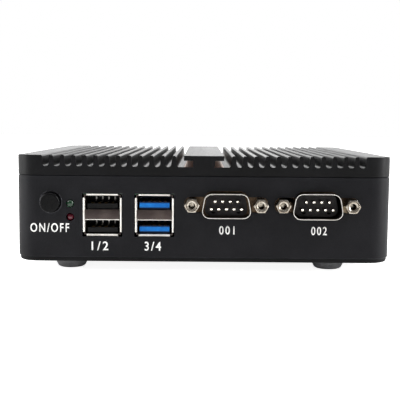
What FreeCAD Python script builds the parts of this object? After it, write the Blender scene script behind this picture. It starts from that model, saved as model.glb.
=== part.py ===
# Fanless industrial computer: a finned aluminium lid over a wrap-around housing frame, with the
# board hung upside down under the lid and its sockets in the front and rear walls.
# Frame: +X to the right seen from the front, +Y to the back, +Z up, in millimetres. The origin is
# at the middle of the footprint, on the surface that the feet stand on.

import FreeCAD, Part
import os
import types

import Sketcher

SIZES = {
    # Case
    "case_width": 138,
    "case_depth": 127,
    "corner_radius": 8,
    "wall": 2,
    "frame_height": 29.9,
    "seam_chamfer": 0.3,
    "plate_thickness": 1.6,
    "plate_inset": 0.45,
    "plate_edge_radius": 0.8,
    "foot_height": 4,
    "foot_top_diameter": 11.8,
    "foot_face_diameter": 8,
    "foot_left_inset": 18.6,
    "foot_right_inset": 21.3,
    "foot_setback": 14,
    # Finned lid
    "lid_height": 7.5,
    "lid_edge_radius": 1,
    "slot_pitch": 4.05,
    "slot_count": 12,
    "slot_mouth": 2.7,
    "slot_floor": 2.05,
    "slot_depth": 4.1,
    "first_slot": 12.93,
    "rail_width": 14.6,
    "rail_arm": 1.8,
    "rail_stem": 7.9,
    # Screws that hold the case together
    "screw_inset": 6,
    "screw_size": 3,
    "screw_gap": 0.2,
    "thread_gap": 0.05,
    "screw_grip": 4.5,
    "screw_head": 5.6,
    "screw_recess": 1.1,
    "post_wall": 2.9,
    # Threaded inserts for a wall or monitor bracket
    "bracket_pitch": 75,
    "insert_thread": 3.4,
    "insert_shank": 5.4,
    "insert_head": 7.9,
    "insert_rise": 2.2,
    # Power button and status lamps
    "button_level": 21.8,
    "button_diameter": 7.2,
    "button_gap": 0.25,
    "button_stand": 2.8,
    "button_edge": 0.6,
    "button_flange": 8.4,
    "button_flange_thickness": 1,
    "button_play": 0.1,
    "button_travel": 1.5,
    "plunger_diameter": 3.3,
    "plunger_gap": 0.15,
    "plunger_bite": 1.5,
    "switch_width": 7.2,
    "switch_depth": 4.6,
    "switch_setback": 4,
    "lamp_diameter": 3,
    "lamp_gap": 0.05,
    "lamp_base": 3.8,
    "lamp_length": 5.3,
    "lamp_upper_level": 21.35,
    "lamp_lower_level": 16.4,
    "lamp_stand": 0.7,
    "lamp_sink": 0.2,
    "lamp_holder_width": 5,
    "lamp_holder_depth": 5,
    # Twin-deck ports
    "port_width": 13.3,
    "port_height": 14.6,
    "port_depth": 17,
    "port_sheet": 0.4,
    "port_deck": 5.05,
    "port_stand": 0.25,
    "port_lip": 0.42,
    "port_lip_length": 1.25,
    "port_lip_notch": 1.1,
    "port_gap": 0.3,
    "port_cavity": 12,
    "tongue_width": 11,
    "tongue_setback": 1.6,
    "tongue_lift": 0.45,
    "tongue_a_thickness": 1.7,
    "tongue_b_thickness": 2.5,
    "strip_width": 1,
    "strip_thickness": 0.25,
    "strip_pitch": 2.35,
    "strip_retreat": 2,
    "stub_width": 0.7,
    "stub_length": 1.6,
    "stub_pitch": 2,
    # D-shaped connectors
    "serial_level": 21.25,
    "dee_slope": 0.176,
    "dee_width": 17.7,
    "dee_height": 9.2,
    "dee_radius": 2.9,
    "dee_sheet": 0.4,
    "dee_stand": 4,
    "dee_gap": 0.45,
    "dee_flange_width": 30.8,
    "dee_flange_height": 12.4,
    "dee_flange_sheet": 0.5,
    "dee_body_height": 10.9,
    "dee_body_depth": 6.5,
    "dee_seat": 0.7,
    "jack_spacing": 25,
    "jack_width": 4.75,
    "jack_stand": 4.4,
    "jack_thread": 2.4,
    "jack_stud": 2.8,
    "jack_stud_length": 5,
    "jack_gap": 0.5,
    "pin_diameter": 1,
    "pin_pitch": 2.77,
    "pin_row_gap": 2.84,
    "pin_stand": 5,
    "pin_tip": 0.35,
    "tail_width": 0.6,
    "tail_setback": 1,
    # Video connectors
    "video_width": 16.4,
    "video_height": 8,
    "video_hole": 1,
    "video_pitch": 2.29,
    "video_row_gap": 1.98,
    "digital_width": 15,
    "digital_height": 5.8,
    "digital_depth": 11.5,
    "digital_sheet": 0.4,
    "digital_cavity": 7,
    "digital_tongue_width": 10.6,
    "digital_tongue": 0.9,
    # Network jacks
    "network_width": 16,
    "network_height": 13.4,
    "network_depth": 21,
    "network_sheet": 0.35,
    "network_mouth": 11.9,
    "network_mouth_height": 7,
    "network_mouth_level": 0.4,
    "network_cavity": 14,
    "latch_width": 6.2,
    "latch_depth": 1.5,
    "latch_slit": 3.2,
    "network_lamp_width": 2.6,
    "network_lamp_height": 1.7,
    "wire_width": 0.45,
    "wire_pitch": 1.02,
    "wire_drop": 1.9,
    "socket_stand": 0.2,
    "socket_gap": 0.25,
    # Round sockets
    "audio_nose": 6,
    "audio_width": 6.4,
    "audio_depth": 14,
    "audio_bore": 3.6,
    "inlet_nose": 7.8,
    "inlet_width": 9,
    "inlet_height": 10.8,
    "inlet_depth": 14,
    "inlet_bore": 6.3,
    "inlet_bore_depth": 9.5,
    "inlet_pin": 2.1,
    # Gaps along the front wall, from the left post to the right one
    "post_to_button": 0.05,
    "button_to_lamps": 0.15,
    "lamps_to_port": 1.8,
    "port_to_port": 4.29,
    "port_to_serial": 3.43,
    "serial_to_serial": 2.2,
    "serial_to_post": 3.5,
    # Gaps along the rear wall, from the left post to the right one
    "post_to_microphone": 3.4,
    "microphone_to_headphone": 2.1,
    "headphone_to_network": 3.05,
    "network_to_network": 1.5,
    "network_to_digital": 2,
    "digital_to_analogue": 0.85,
    "analogue_to_inlet": 3.1,
    "inlet_to_post": 3.1,
    # Board and what it carries
    "board_level": 24.5,
    "board_thickness": 1.6,
    "board_side_gap": 0.6,
    "board_edge_gap": 0.7,
    "board_notch_gap": 0.4,
    "board_hole_inset": 4.5,
    "board_hole_setback": 19.5,
    "standoff_diameter": 6,
    "standoff_shank": 4,
    "standoff_seat": 1.5,
    "board_screw_head": 5.5,
    "board_screw_head_height": 1.8,
    "package_size": 26,
    "package_thickness": 1.1,
    "die_size": 11,
    "die_thickness": 0.6,
    "pad_size": 24,
    "pad_thickness": 0.5,
    "heat_block_size": 40,
    "wall_to_memory": 10.3,
    "memory_to_storage": 3.5,
    "storage_to_wall": 11.2,
    "memory_setback": 29.5,
    "memory_width": 67.6,
    "memory_length": 30,
    "memory_thickness": 1.1,
    "memory_drop": 1.9,
    "memory_bite": 1.5,
    "memory_chip": 10,
    "memory_chip_length": 12,
    "memory_chip_thickness": 0.9,
    "memory_socket_depth": 6.5,
    "memory_socket_height": 4,
    "memory_arm": 2.4,
    "storage_setback": 44.5,
    "storage_width": 29.8,
    "storage_length": 50.8,
    "storage_socket_depth": 5,
    "cell_inset": 29,
    "cell_front": 20,
    "cell_diameter": 20,
    "cell_thickness": 3.2,
    "cell_holder_wall": 1.6,
    "cell_holder_floor": 1.2,
    "inductor_size": 7,
    "inductor_height": 3.5,
    "inductor_pitch": 10,
    "inductor_right": 31,
    "capacitor_diameter": 6.3,
    "capacitor_height": 5.8,
    "capacitor_pitch": 9,
    "capacitor_setback": 24.5,
    "chip_size": 8,
    "chip_thickness": 1,
    "chip_pitch": 18,
    "chip_back": 34,
}

HEX_CORNER = 0.57735      # half the width across the corners of a hexagon, over its width across flats
DEE_SPREAD = 2.38         # how much wider the foot of a D outline grows for each millimetre of offset
FIN_ROUND = 0.4           # share of a fin's thickness that each of its top edges rounds away
FIN_FLAT = 0.05           # share of a fin's thickness that a slot's cut runs in past that rounding
FLOOR_ROUND = 0.45        # share of a slot's floor that each of its lower edges rounds away
LENS_ROUND = 0.95         # share of a lamp's radius that its domed end rounds away
FOOT_ROUND = 0.8          # share of a foot's flare that its lower edge rounds away
FOOT_SHOULDER = 0.6       # the same for the edge half way up
TAPER = 45                # angle of a countersink or a pointed tip, in degrees
CLEAR = 1                 # how far a cutting outline runs past the solid
STRIPS = 4                # contacts on one tongue of a port
STUBS = 5                 # short contacts in front of them
HOLES = 5                 # holes in each row of the analogue video socket
STAGGER = 0.25            # how far its rows are shifted, in pitches
WIRES = 8                 # spring contacts of a network jack
COILS = 4                 # inductors in their row


class Value:
    # A number together with the spreadsheet formula that it comes from.
    def __init__(self, number, text):
        self.number = float(number)
        self.text = text

    def joined(self, sign, other, number):
        return Value(number, f"({self.text} {sign} {formula(other)})")

    def __add__(self, other):
        return self.joined("+", other, self.number + plain(other))

    def __sub__(self, other):
        return self.joined("-", other, self.number - plain(other))

    def __mul__(self, other):
        return self.joined("*", other, self.number * plain(other))

    def __truediv__(self, other):
        return self.joined("/", other, self.number / plain(other))

    def __neg__(self):
        return Value(-self.number, f"(-1 * {self.text})")


def plain(value):
    return value.number if isinstance(value, Value) else float(value)


def formula(value):
    return value.text if isinstance(value, Value) else repr(float(value))


# Tie a property to the sheet where its value comes from there, or else just set it.
def bind(item, path, value):
    if isinstance(value, Value) and "Sizes." in value.text:
        item.setExpression(path, value.text)
    elif hasattr(item, path):
        setattr(item, path, plain(value))


doc = FreeCAD.newDocument("FanlessComputer")
sheet = doc.addObject("Spreadsheet::Sheet", "Sizes")
for row, (name, number) in enumerate(SIZES.items(), start=1):
    sheet.set(f"A{row}", name)
    sheet.set(f"B{row}", str(number))
    sheet.setAlias(f"B{row}", name)
doc.recompute()
size = types.SimpleNamespace(**{name: Value(number, f"Sizes.{name}") for name, number in SIZES.items()})
pieces = []


# ---- Building blocks -------------------------------------------------------------------------

# A new body, its own origin placed at x, y, z and turned about the upright axis.
def piece(label, x=0, y=0, z=0, turn=0):
    body = doc.addObject("PartDesign::Body", label)
    body.Label = label
    place = FreeCAD.Vector(plain(x), plain(y), plain(z))
    body.Placement = FreeCAD.Placement(place, FreeCAD.Rotation(FreeCAD.Vector(0, 0, 1), turn))
    for axis, value in zip("xyz", (x, y, z)):
        bind(body, f"Placement.Base.{axis}", value)
    pieces.append(body)
    return body


def role(body, name):
    return next(feature for feature in body.Origin.OriginFeatures if feature.Role == name)


# A sketch on an origin plane, or level away from it towards its positive side.
def sketch(body, name, plane, level=0):
    drawing = body.newObject("Sketcher::SketchObject", name)
    drawing.AttachmentSupport = (role(body, plane), [""])
    drawing.MapMode = "FlatFace"
    shift = Value(0, "0") + level
    if plane == "XZ_Plane":
        shift = -shift
    drawing.AttachmentOffset = FreeCAD.Placement(FreeCAD.Vector(0, 0, shift.number), FreeCAD.Rotation())
    bind(drawing, "AttachmentOffset.Base.z", shift)
    return drawing


# Hold a point of a sketch at x, y from its origin.
def fix(drawing, geometry, point, x, y):
    for kind, axis, value in (("DistanceX", -2, x), ("DistanceY", -1, y)):
        if isinstance(value, Value):
            index = drawing.addConstraint(Sketcher.Constraint(kind, -1, 1, geometry, point, value.number))
            bind(drawing, f"Constraints[{index}]", value)
        elif value == 0:
            drawing.addConstraint(Sketcher.Constraint("PointOnObject", geometry, point, axis))
        else:
            drawing.addConstraint(Sketcher.Constraint(kind, -1, 1, geometry, point, float(value)))


def circle(drawing, x, y, diameter):
    centre = FreeCAD.Vector(plain(x), plain(y), 0)
    round_edge = Part.Circle(centre, FreeCAD.Vector(0, 0, 1), plain(diameter) / 2)
    geometry = drawing.addGeometry(round_edge, False)
    fix(drawing, geometry, 3, x, y)
    index = drawing.addConstraint(Sketcher.Constraint("Diameter", geometry, plain(diameter)))
    bind(drawing, f"Constraints[{index}]", Value(0, "0") + diameter)


# A closed outline through corners (x, y) or, where one is rounded, (x, y, radius).
def loop(drawing, corners):
    count = len(corners)
    spots = [FreeCAD.Vector(plain(corner[0]), plain(corner[1]), 0) for corner in corners]
    ways = [(spots[(i + 1) % count] - spots[i]).normalize() for i in range(count)]
    starts, ends, arcs = list(spots), [spots[(i + 1) % count] for i in range(count)], {}
    for i, corner in enumerate(corners):
        if len(corner) == 2:
            continue
        before, after = ways[i - 1], ways[i]
        radius = plain(corner[2])
        turn = before.getAngle(after)
        reach = radius * (1 - before.dot(after)) / before.cross(after).Length
        left = 1 if before.cross(after).z > 0 else -1
        ends[i - 1] = spots[i] - before * reach
        starts[i] = spots[i] + after * reach
        middle = ends[i - 1] + FreeCAD.Vector(-before.y, before.x, 0) * (left * radius)
        spoke = (starts[i] if left < 0 else ends[i - 1]) - middle
        begin = FreeCAD.Vector(1, 0, 0).getAngle(spoke) * (1 if spoke.y >= 0 else -1)
        rim = Part.Circle(middle, FreeCAD.Vector(0, 0, 1), radius)
        arcs[i] = (Part.ArcOfCircle(rim, begin, begin + turn), left)
    lines = [drawing.addGeometry(Part.LineSegment(starts[i], ends[i]), False) for i in range(count)]
    for i, corner in enumerate(corners):
        if i not in arcs:
            drawing.addConstraint(Sketcher.Constraint("Coincident", lines[i - 1], 2, lines[i], 1))
            fix(drawing, lines[i], 1, corner[0], corner[1])
            continue
        arc, left = arcs[i]
        bend = drawing.addGeometry(arc, False)
        first, last = (1, 2) if left > 0 else (2, 1)
        drawing.addConstraint(Sketcher.Constraint("Tangent", lines[i - 1], 2, bend, first))
        drawing.addConstraint(Sketcher.Constraint("Tangent", bend, last, lines[i], 1))
        index = drawing.addConstraint(Sketcher.Constraint("Radius", bend, plain(corner[2])))
        bind(drawing, f"Constraints[{index}]", corner[2])
        spot = drawing.addGeometry(Part.Point(spots[i]), True)
        fix(drawing, spot, 1, corner[0], corner[1])
        drawing.addConstraint(Sketcher.Constraint("PointOnObject", spot, 1, lines[i - 1]))
        drawing.addConstraint(Sketcher.Constraint("PointOnObject", spot, 1, lines[i]))


def rectangle(left, bottom, right, top, radius=None):
    corners = [(left, bottom), (right, bottom), (right, top), (left, top)]
    return corners if radius is None else [corner + (radius,) for corner in corners]


def centred(width, height, radius=None):
    return rectangle(-width / 2, -height / 2, width / 2, height / 2, radius)


# A pad or pocket that runs from its sketch towards the positive side of the sketch's plane.
def extruded(body, kind, drawing, length, taper=0):
    feature = body.newObject(f"PartDesign::{kind}", f"{drawing.Name}{kind}")
    feature.Profile = drawing
    feature.TaperAngle = taper
    faces_back = drawing.AttachmentSupport[0][0].Role == "XZ_Plane"
    feature.Reversed = faces_back == (kind == "Pad")
    bind(feature, "Length", length)
    drawing.Visibility = False
    return feature


def pad(body, drawing, length, taper=0):
    return extruded(body, "Pad", drawing, length, taper)


def pocket(body, drawing, length):
    return extruded(body, "Pocket", drawing, length)


# A revolution or a groove about an axis of its own sketch.
def turned(body, kind, drawing, axis="V_Axis"):
    feature = body.newObject(f"PartDesign::{kind}", f"{drawing.Name}{kind}")
    feature.Profile = drawing
    feature.ReferenceAxis = (drawing, [axis])
    feature.Angle = 360
    return feature


# Repeat features count times along an origin axis, and along a second one if across is given.
def row(body, features, axis, pitch, count, across=None, backwards=False):
    pattern = body.newObject("PartDesign::LinearPattern", f"{features[0].Name}Row")
    pattern.Originals = features
    pattern.Direction = (role(body, axis), [""])
    pattern.Reversed = backwards
    pattern.Occurrences = int(plain(count))
    bind(pattern, "Length", pitch * (count - 1))
    if isinstance(count, Value):
        bind(pattern, "Occurrences", count)
    if across:
        second_axis, second_pitch, second_count = across
        pattern.Direction2 = (role(body, second_axis), [""])
        bind(pattern, "Length2", second_pitch * (second_count - 1))
        pattern.Occurrences2 = second_count
    body.Tip = pattern
    return pattern


# Fillet or chamfer the edges of the body's tip that wanted picks out.
def eased(body, kind, size_name, amount, wanted):
    doc.recompute()
    tip = body.Tip
    names = [f"Edge{i}" for i, edge in enumerate(tip.Shape.Edges, start=1) if wanted(edge)]
    feature = body.newObject(f"PartDesign::{kind}", f"{body.Name}{kind}")
    feature.Base = (tip, names)
    bind(feature, size_name, amount)
    body.Tip = feature
    return feature


# ---- Levels and places that several pieces share ---------------------------------------------

plate_bottom = size.foot_height
frame_bottom = plate_bottom + size.plate_thickness
lid_bottom = frame_bottom + size.frame_height
lid_top = lid_bottom + size.lid_height
board_bottom = plate_bottom + size.board_level
board_top = board_bottom + size.board_thickness
half_width = size.case_width / 2
back = size.case_depth / 2
front = -back
screw_x = half_width - size.screw_inset
screw_y = back - size.screw_inset
screw_thread = size.screw_size + size.thread_gap * 2
screw_hole = size.screw_size + size.screw_gap * 2
stud_hole = size.jack_stud + size.screw_gap * 2
dee_face = size.wall + size.dee_flange_sheet
dee_end = dee_face + size.dee_body_depth
flange_rear = size.wall + size.button_play + size.button_flange_thickness
switch_front = size.wall + size.switch_setback
lamp_seat = size.lamp_length - size.lamp_stand
port_inside = size.port_width - size.port_sheet * 2
deck_centre = (size.port_height - size.port_sheet * 2 - size.port_deck) / 2
port_level = board_bottom - size.port_height / 2
digital_level = board_bottom - size.digital_height / 2
network_level = board_bottom - size.network_height / 2
audio_level = board_bottom - size.audio_width / 2
inlet_level = board_bottom - size.inlet_height / 2
button_height = plate_bottom + size.button_level
serial_height = plate_bottom + size.serial_level
fin = size.slot_pitch - size.slot_mouth
fin_round = fin * FIN_ROUND
post_x = screw_x - size.post_wall
board_half = post_x - size.board_side_gap
board_hole_x = board_half - size.board_hole_inset
board_hole_y = back - size.board_hole_setback
port_reach = (size.port_lip + size.port_gap) * 2
memory_wide = size.memory_width + size.memory_arm * 2 + CLEAR
storage_wide = size.storage_width + size.memory_arm * 2 + CLEAR
corners_of_four = [(side, end) for side in (-1, 1) for end in (-1, 1)]


# The middles of a row of items, given as the gap before each and its width. The gaps, and the one
# left at the end, share out the room that the items leave.
def shared_out(half_room, items, last_gap):
    gaps = sum((gap for gap, width in items[1:]), items[0][0]) + last_gap
    widths = sum((width for gap, width in items[1:]), items[0][1])
    stretch = (half_room * 2 - widths) / gaps
    middles = []
    gaps_so_far, edge = Value(0, "0"), -half_room
    for gap, width in items:
        gaps_so_far = gaps_so_far + gap
        middles.append(edge + width / 2 + gaps_so_far * stretch)
        edge = edge + width
    return middles


port_wide = size.port_width + port_reach
network_wide = size.network_width + size.socket_gap * 2
button_x, lamp_x, port_a_x, port_b_x, serial_a_x, serial_b_x = shared_out(post_x, [
    (size.post_to_button, size.button_flange + size.plunger_gap * 2),
    (size.button_to_lamps, size.lamp_holder_width),
    (size.lamps_to_port, port_wide),
    (size.port_to_port, port_wide),
    (size.port_to_serial, size.dee_flange_width),
    (size.serial_to_serial, size.dee_flange_width)], size.serial_to_post)
microphone_x, headphone_x, network_b_x, network_a_x, digital_x, analogue_x, inlet_x = shared_out(post_x, [
    (size.post_to_microphone, size.audio_width),
    (size.microphone_to_headphone, size.audio_width),
    (size.headphone_to_network, network_wide),
    (size.network_to_network, network_wide),
    (size.network_to_digital, size.digital_width + size.socket_gap * 2),
    (size.digital_to_analogue, size.dee_flange_width),
    (size.analogue_to_inlet, size.inlet_width)], size.inlet_to_post)
memory_x, storage_x = shared_out(half_width - size.wall, [
    (size.wall_to_memory, memory_wide),
    (size.memory_to_storage, storage_wide)], size.storage_to_wall)


# A D outline with its wide side down, grown outwards by offset.
def dee(width, height, offset=0):
    foot = width + offset * DEE_SPREAD if offset else width
    tall = height + offset * 2 if offset else height
    radius = size.dee_radius + offset if offset else size.dee_radius
    crown = foot - tall * size.dee_slope * 2
    return [(-foot / 2, -tall / 2, radius), (foot / 2, -tall / 2, radius),
            (crown / 2, tall / 2, radius), (-crown / 2, tall / 2, radius)]


# ---- Case ------------------------------------------------------------------------------------

def heatsink_lid():
    lid = piece("heatsink_lid")
    section = sketch(lid, "lidSection", "XZ_Plane", front)
    loop(section, [(-half_width, lid_bottom), (half_width, lid_bottom),
                   (half_width, lid_top, size.lid_edge_radius),
                   (-half_width, lid_top, size.lid_edge_radius)])
    pad(lid, section, size.case_depth)

    milled = sketch(lid, "milledCorners", "XY_Plane", lid_bottom)
    run = size.corner_radius + CLEAR
    for side, end in corners_of_four:
        far_x, far_y = half_width * side, back * end
        near_x, near_y = (half_width - run) * side, (back - run) * end
        out_x, out_y = (half_width + CLEAR) * side, (back + CLEAR) * end
        loop(milled, [(near_x, far_y), (far_x, far_y, size.corner_radius), (far_x, near_y),
                      (out_x, near_y), (out_x, out_y), (near_x, out_y)])
    pocket(lid, milled, size.lid_height)

    floor = lid_top - size.slot_depth
    floor_round = size.slot_floor * FLOOR_ROUND
    reach = size.slot_mouth / 2 + fin_round + fin * FIN_FLAT
    inner_fin = size.first_slot - size.slot_pitch / 2
    inner_foot = inner_fin - (size.slot_pitch - size.slot_floor) / 2
    inner_crest = inner_fin - fin / 2
    for side, name in ((1, "right"), (-1, "left")):
        channel = sketch(lid, f"{name}Channel", "XZ_Plane", front)
        past_crest = inner_crest + fin_round + fin * FIN_FLAT
        loop(channel, [(size.rail_width * side / 2, lid_top + CLEAR),
                       (size.rail_width * side / 2, lid_top - size.rail_arm),
                       (size.rail_stem * side / 2, lid_top - size.rail_arm),
                       (size.rail_stem * side / 2, floor),
                       (inner_foot * side, floor, floor_round),
                       (inner_crest * side, lid_top, fin_round),
                       (past_crest * side, lid_top),
                       (past_crest * side, lid_top + CLEAR)])
        pocket(lid, channel, size.case_depth)

        slot = sketch(lid, f"{name}Slot", "XZ_Plane", front)
        centre = size.first_slot * side
        loop(slot, [(centre - reach, lid_top + CLEAR), (centre - reach, lid_top),
                    (centre - size.slot_mouth / 2, lid_top, fin_round),
                    (centre - size.slot_floor / 2, floor, floor_round),
                    (centre + size.slot_floor / 2, floor, floor_round),
                    (centre + size.slot_mouth / 2, lid_top, fin_round),
                    (centre + reach, lid_top), (centre + reach, lid_top + CLEAR)])
        cut = pocket(lid, slot, size.case_depth)
        row(lid, [cut], "X_Axis", size.slot_pitch, size.slot_count, backwards=side < 0)

    threads = sketch(lid, "screwThreads", "XY_Plane", lid_bottom)
    for side, end in corners_of_four:
        circle(threads, screw_x * side, screw_y * end, screw_thread)
    pocket(lid, threads, size.screw_grip + CLEAR)
    seats = sketch(lid, "standoffSeats", "XY_Plane", lid_bottom)
    for side, end in corners_of_four:
        circle(seats, board_hole_x * side, board_hole_y * end, size.standoff_shank + size.thread_gap * 2)
    pocket(lid, seats, size.standoff_seat + size.thread_gap)
    eased(lid, "Chamfer", "Size", size.seam_chamfer, outer_edge_at(lid_bottom))


# Picks out the edges of a case part's outer outline at one level.
def outer_edge_at(level):
    limit_x = half_width.number - size.wall.number / 2
    limit_y = back.number - size.wall.number / 2

    def wanted(edge):
        box = edge.BoundBox
        if box.ZLength > 0.001 or abs(box.ZMin - level.number) > 0.001:
            return False
        if isinstance(edge.Curve, Part.Circle):
            return edge.Curve.Radius > size.corner_radius.number - size.wall.number / 2
        middle = box.Center
        return abs(middle.x) > limit_x or abs(middle.y) > limit_y

    return wanted


def housing_frame():
    frame = piece("housing_frame")
    outline = sketch(frame, "frameOutline", "XY_Plane", frame_bottom)
    loop(outline, centred(size.case_width, size.case_depth, size.corner_radius))
    loop(outline, centred(size.case_width - size.wall * 2, size.case_depth - size.wall * 2,
                          size.corner_radius - size.wall))
    pad(frame, outline, size.frame_height)

    posts = sketch(frame, "screwPosts", "XY_Plane", frame_bottom)
    middle = size.wall / 2
    for side, end in corners_of_four:
        near_x, near_y = post_x * side, (screw_y - size.post_wall) * end
        far_x, far_y = (half_width - middle) * side, (back - middle) * end
        loop(posts, [(near_x, near_y, size.post_wall), (far_x, near_y),
                     (far_x, far_y, size.corner_radius - middle), (near_x, far_y)])
        circle(posts, screw_x * side, screw_y * end, screw_hole)
    pad(frame, posts, size.frame_height)

    cut_front = sketch(frame, "frontOpenings", "XZ_Plane", front)
    circle(cut_front, button_x, button_height, size.button_diameter + size.button_gap * 2)
    for level in (size.lamp_upper_level, size.lamp_lower_level):
        circle(cut_front, lamp_x, plate_bottom + level, size.lamp_diameter + size.lamp_gap * 2)
    for x in (port_a_x, port_b_x):
        window(cut_front, x, port_level, port_wide, size.port_height + port_reach, size.port_gap)
    pocket(frame, cut_front, size.wall)
    for x, name in ((serial_a_x, "serialA"), (serial_b_x, "serialB")):
        dee_window(frame, name, x, front, size.dee_width, size.dee_height)

    inner_back = back - size.wall
    cut_back = sketch(frame, "backOpenings", "XZ_Plane", inner_back)
    window(cut_back, digital_x, digital_level, size.digital_width + size.socket_gap * 2,
           size.digital_height + size.socket_gap * 2, size.socket_gap)
    for x in (network_a_x, network_b_x):
        window(cut_back, x, network_level, network_wide, size.network_height + size.socket_gap * 2,
               size.socket_gap)
    for x in (headphone_x, microphone_x):
        circle(cut_back, x, audio_level, size.audio_nose + size.socket_gap * 2)
    circle(cut_back, inlet_x, inlet_level, size.inlet_nose + size.socket_gap * 2)
    pocket(frame, cut_back, size.wall)
    dee_window(frame, "video", analogue_x, inner_back, size.video_width, size.video_height)

    eased(frame, "Chamfer", "Size", size.seam_chamfer, outer_edge_at(lid_bottom))
    eased(frame, "Chamfer", "Size", size.seam_chamfer, outer_edge_at(frame_bottom))


def window(drawing, x, z, width, height, radius=None):
    loop(drawing, rectangle(x - width / 2, z - height / 2, x + width / 2, z + height / 2, radius))


# A D-shaped cut-out with a slot out to the jackscrews on each side.
def dee_window(frame, name, x, level, width, height):
    shape = sketch(frame, f"{name}Window", "XZ_Plane", level)
    outline = dee(width, height, size.dee_gap)
    loop(shape, [(x + corner[0], serial_height + corner[1], corner[2]) for corner in outline])
    pocket(frame, shape, size.wall)
    ears = sketch(frame, f"{name}Ears", "XZ_Plane", level)
    tall = size.jack_width + size.jack_gap * 2
    window(ears, x, serial_height, size.jack_spacing + tall, tall, tall * FLOOR_ROUND)
    pocket(frame, ears, size.wall)


def bottom_plate():
    plate = piece("bottom_plate")
    outline = sketch(plate, "plateOutline", "XY_Plane", plate_bottom)
    loop(outline, centred(size.case_width - size.plate_inset * 2, size.case_depth - size.plate_inset * 2,
                          size.corner_radius - size.plate_inset))
    for side, end in corners_of_four:
        circle(outline, screw_x * side, screw_y * end, screw_hole)
        circle(outline, size.bracket_pitch * side / 2, size.bracket_pitch * end / 2,
               size.insert_shank + size.thread_gap * 2)
    pad(plate, outline, size.plate_thickness)
    sinks = sketch(plate, "countersinks", "XY_Plane", plate_bottom)
    head = size.screw_head + size.thread_gap * 2
    for side, end in corners_of_four:
        circle(sinks, screw_x * side, screw_y * end, head)
    extruded(plate, "Pocket", sinks, (head - screw_hole) / 2, -TAPER)
    eased(plate, "Fillet", "Radius", size.plate_edge_radius, outer_edge_at(plate_bottom))


def case_screws():
    screws = piece("case_screws", -screw_x, -screw_y)
    radius = size.screw_size / 2
    tip = lid_bottom + size.screw_grip
    profile = sketch(screws, "screwProfile", "XZ_Plane")
    loop(profile, [(0, plate_bottom), (size.screw_head / 2, plate_bottom),
                   (radius, plate_bottom + size.screw_head / 2 - radius),
                   (radius, tip - radius / 2), (radius / 2, tip), (0, tip)])
    turning = turned(screws, "Revolution", profile)
    socket = sketch(screws, "screwSocket", "XY_Plane", plate_bottom)
    loop(socket, hexagon(size.screw_size * 2 / 3))
    recess = pocket(screws, socket, size.screw_recess)
    row(screws, [turning, recess], "X_Axis", screw_x * 2, 2, ("Y_Axis", screw_y * 2, 2))


def hexagon(width):
    side = width * HEX_CORNER
    return [(side, 0), (side / 2, width / 2), (-side / 2, width / 2),
            (-side, 0), (-side / 2, -width / 2), (side / 2, -width / 2)]


def foot(label, x, y):
    rubber = piece(label, x, y)
    face = size.foot_face_diameter / 2
    rim = size.foot_top_diameter / 2
    profile = sketch(rubber, f"{label}Profile", "XZ_Plane")
    loop(profile, [(0, 0), (face + (rim - face) / 2, 0, (rim - face) * FOOT_ROUND),
                   (rim, size.foot_height / 2, (rim - face) * FOOT_SHOULDER), (rim, size.foot_height),
                   (0, size.foot_height)])
    turned(rubber, "Revolution", profile)


def bracket_inserts():
    half = size.bracket_pitch / 2
    inserts = piece("bracket_inserts", -half, -half)
    thread, shank, head = size.insert_thread / 2, size.insert_shank / 2, size.insert_head / 2
    top = frame_bottom + size.insert_rise
    profile = sketch(inserts, "insertProfile", "XZ_Plane")
    loop(profile, [(thread, plate_bottom), (shank, plate_bottom), (shank, frame_bottom),
                   (head, frame_bottom), (head, top), (thread, top)])
    turning = turned(inserts, "Revolution", profile)
    row(inserts, [turning], "X_Axis", size.bracket_pitch, 2, ("Y_Axis", size.bracket_pitch, 2))


# ---- Power button and lamps ------------------------------------------------------------------

def power_button():
    cap = piece("power_button_cap", button_x, front, button_height)
    radius, flange = size.button_diameter / 2, size.button_flange / 2
    step = size.wall + size.button_play
    profile = sketch(cap, "capProfile", "XY_Plane")
    loop(profile, [(0, -size.button_stand), (radius, -size.button_stand, size.button_edge),
                   (radius, step), (flange, step), (flange, flange_rear), (0, flange_rear)])
    turned(cap, "Revolution", profile)

    plunger = piece("switch_plunger", button_x, front, button_height)
    end = sketch(plunger, "plungerEnd", "XZ_Plane", flange_rear)
    circle(end, 0, 0, size.plunger_diameter)
    pad(plunger, end, switch_front + size.plunger_bite - flange_rear)

    switch = piece("button_switch", button_x, front, button_height)
    body = sketch(switch, "switchBody", "XZ_Plane", switch_front)
    loop(body, rectangle(-size.switch_width / 2, -size.switch_width / 2, size.switch_width / 2,
                         size.board_level - size.button_level))
    pad(switch, body, size.switch_depth)
    bore = sketch(switch, "switchBore", "XZ_Plane", switch_front)
    circle(bore, 0, 0, size.plunger_diameter + size.plunger_gap * 2)
    pocket(switch, bore, size.plunger_bite + size.button_travel + size.plunger_gap * 2)


def lamp(label, level, tip):
    light = piece(label, lamp_x, front, plate_bottom + level)
    radius, base = size.lamp_diameter / 2, size.lamp_base / 2
    profile = sketch(light, f"{label}Profile", "XY_Plane")
    loop(profile, [(0, tip), (radius, tip, radius * LENS_ROUND), (radius, lamp_seat - CLEAR),
                   (base, lamp_seat - CLEAR), (base, lamp_seat), (0, lamp_seat)])
    turned(light, "Revolution", profile)


def lamp_holder():
    holder = piece("lamp_holder", lamp_x, front)
    half = size.lamp_holder_width / 2
    block = sketch(holder, "holderBlock", "XZ_Plane", lamp_seat)
    loop(block, rectangle(-half, plate_bottom + size.lamp_lower_level - half, half, board_bottom))
    pad(holder, block, size.lamp_holder_depth)


# ---- Twin-deck ports -------------------------------------------------------------------------

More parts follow.
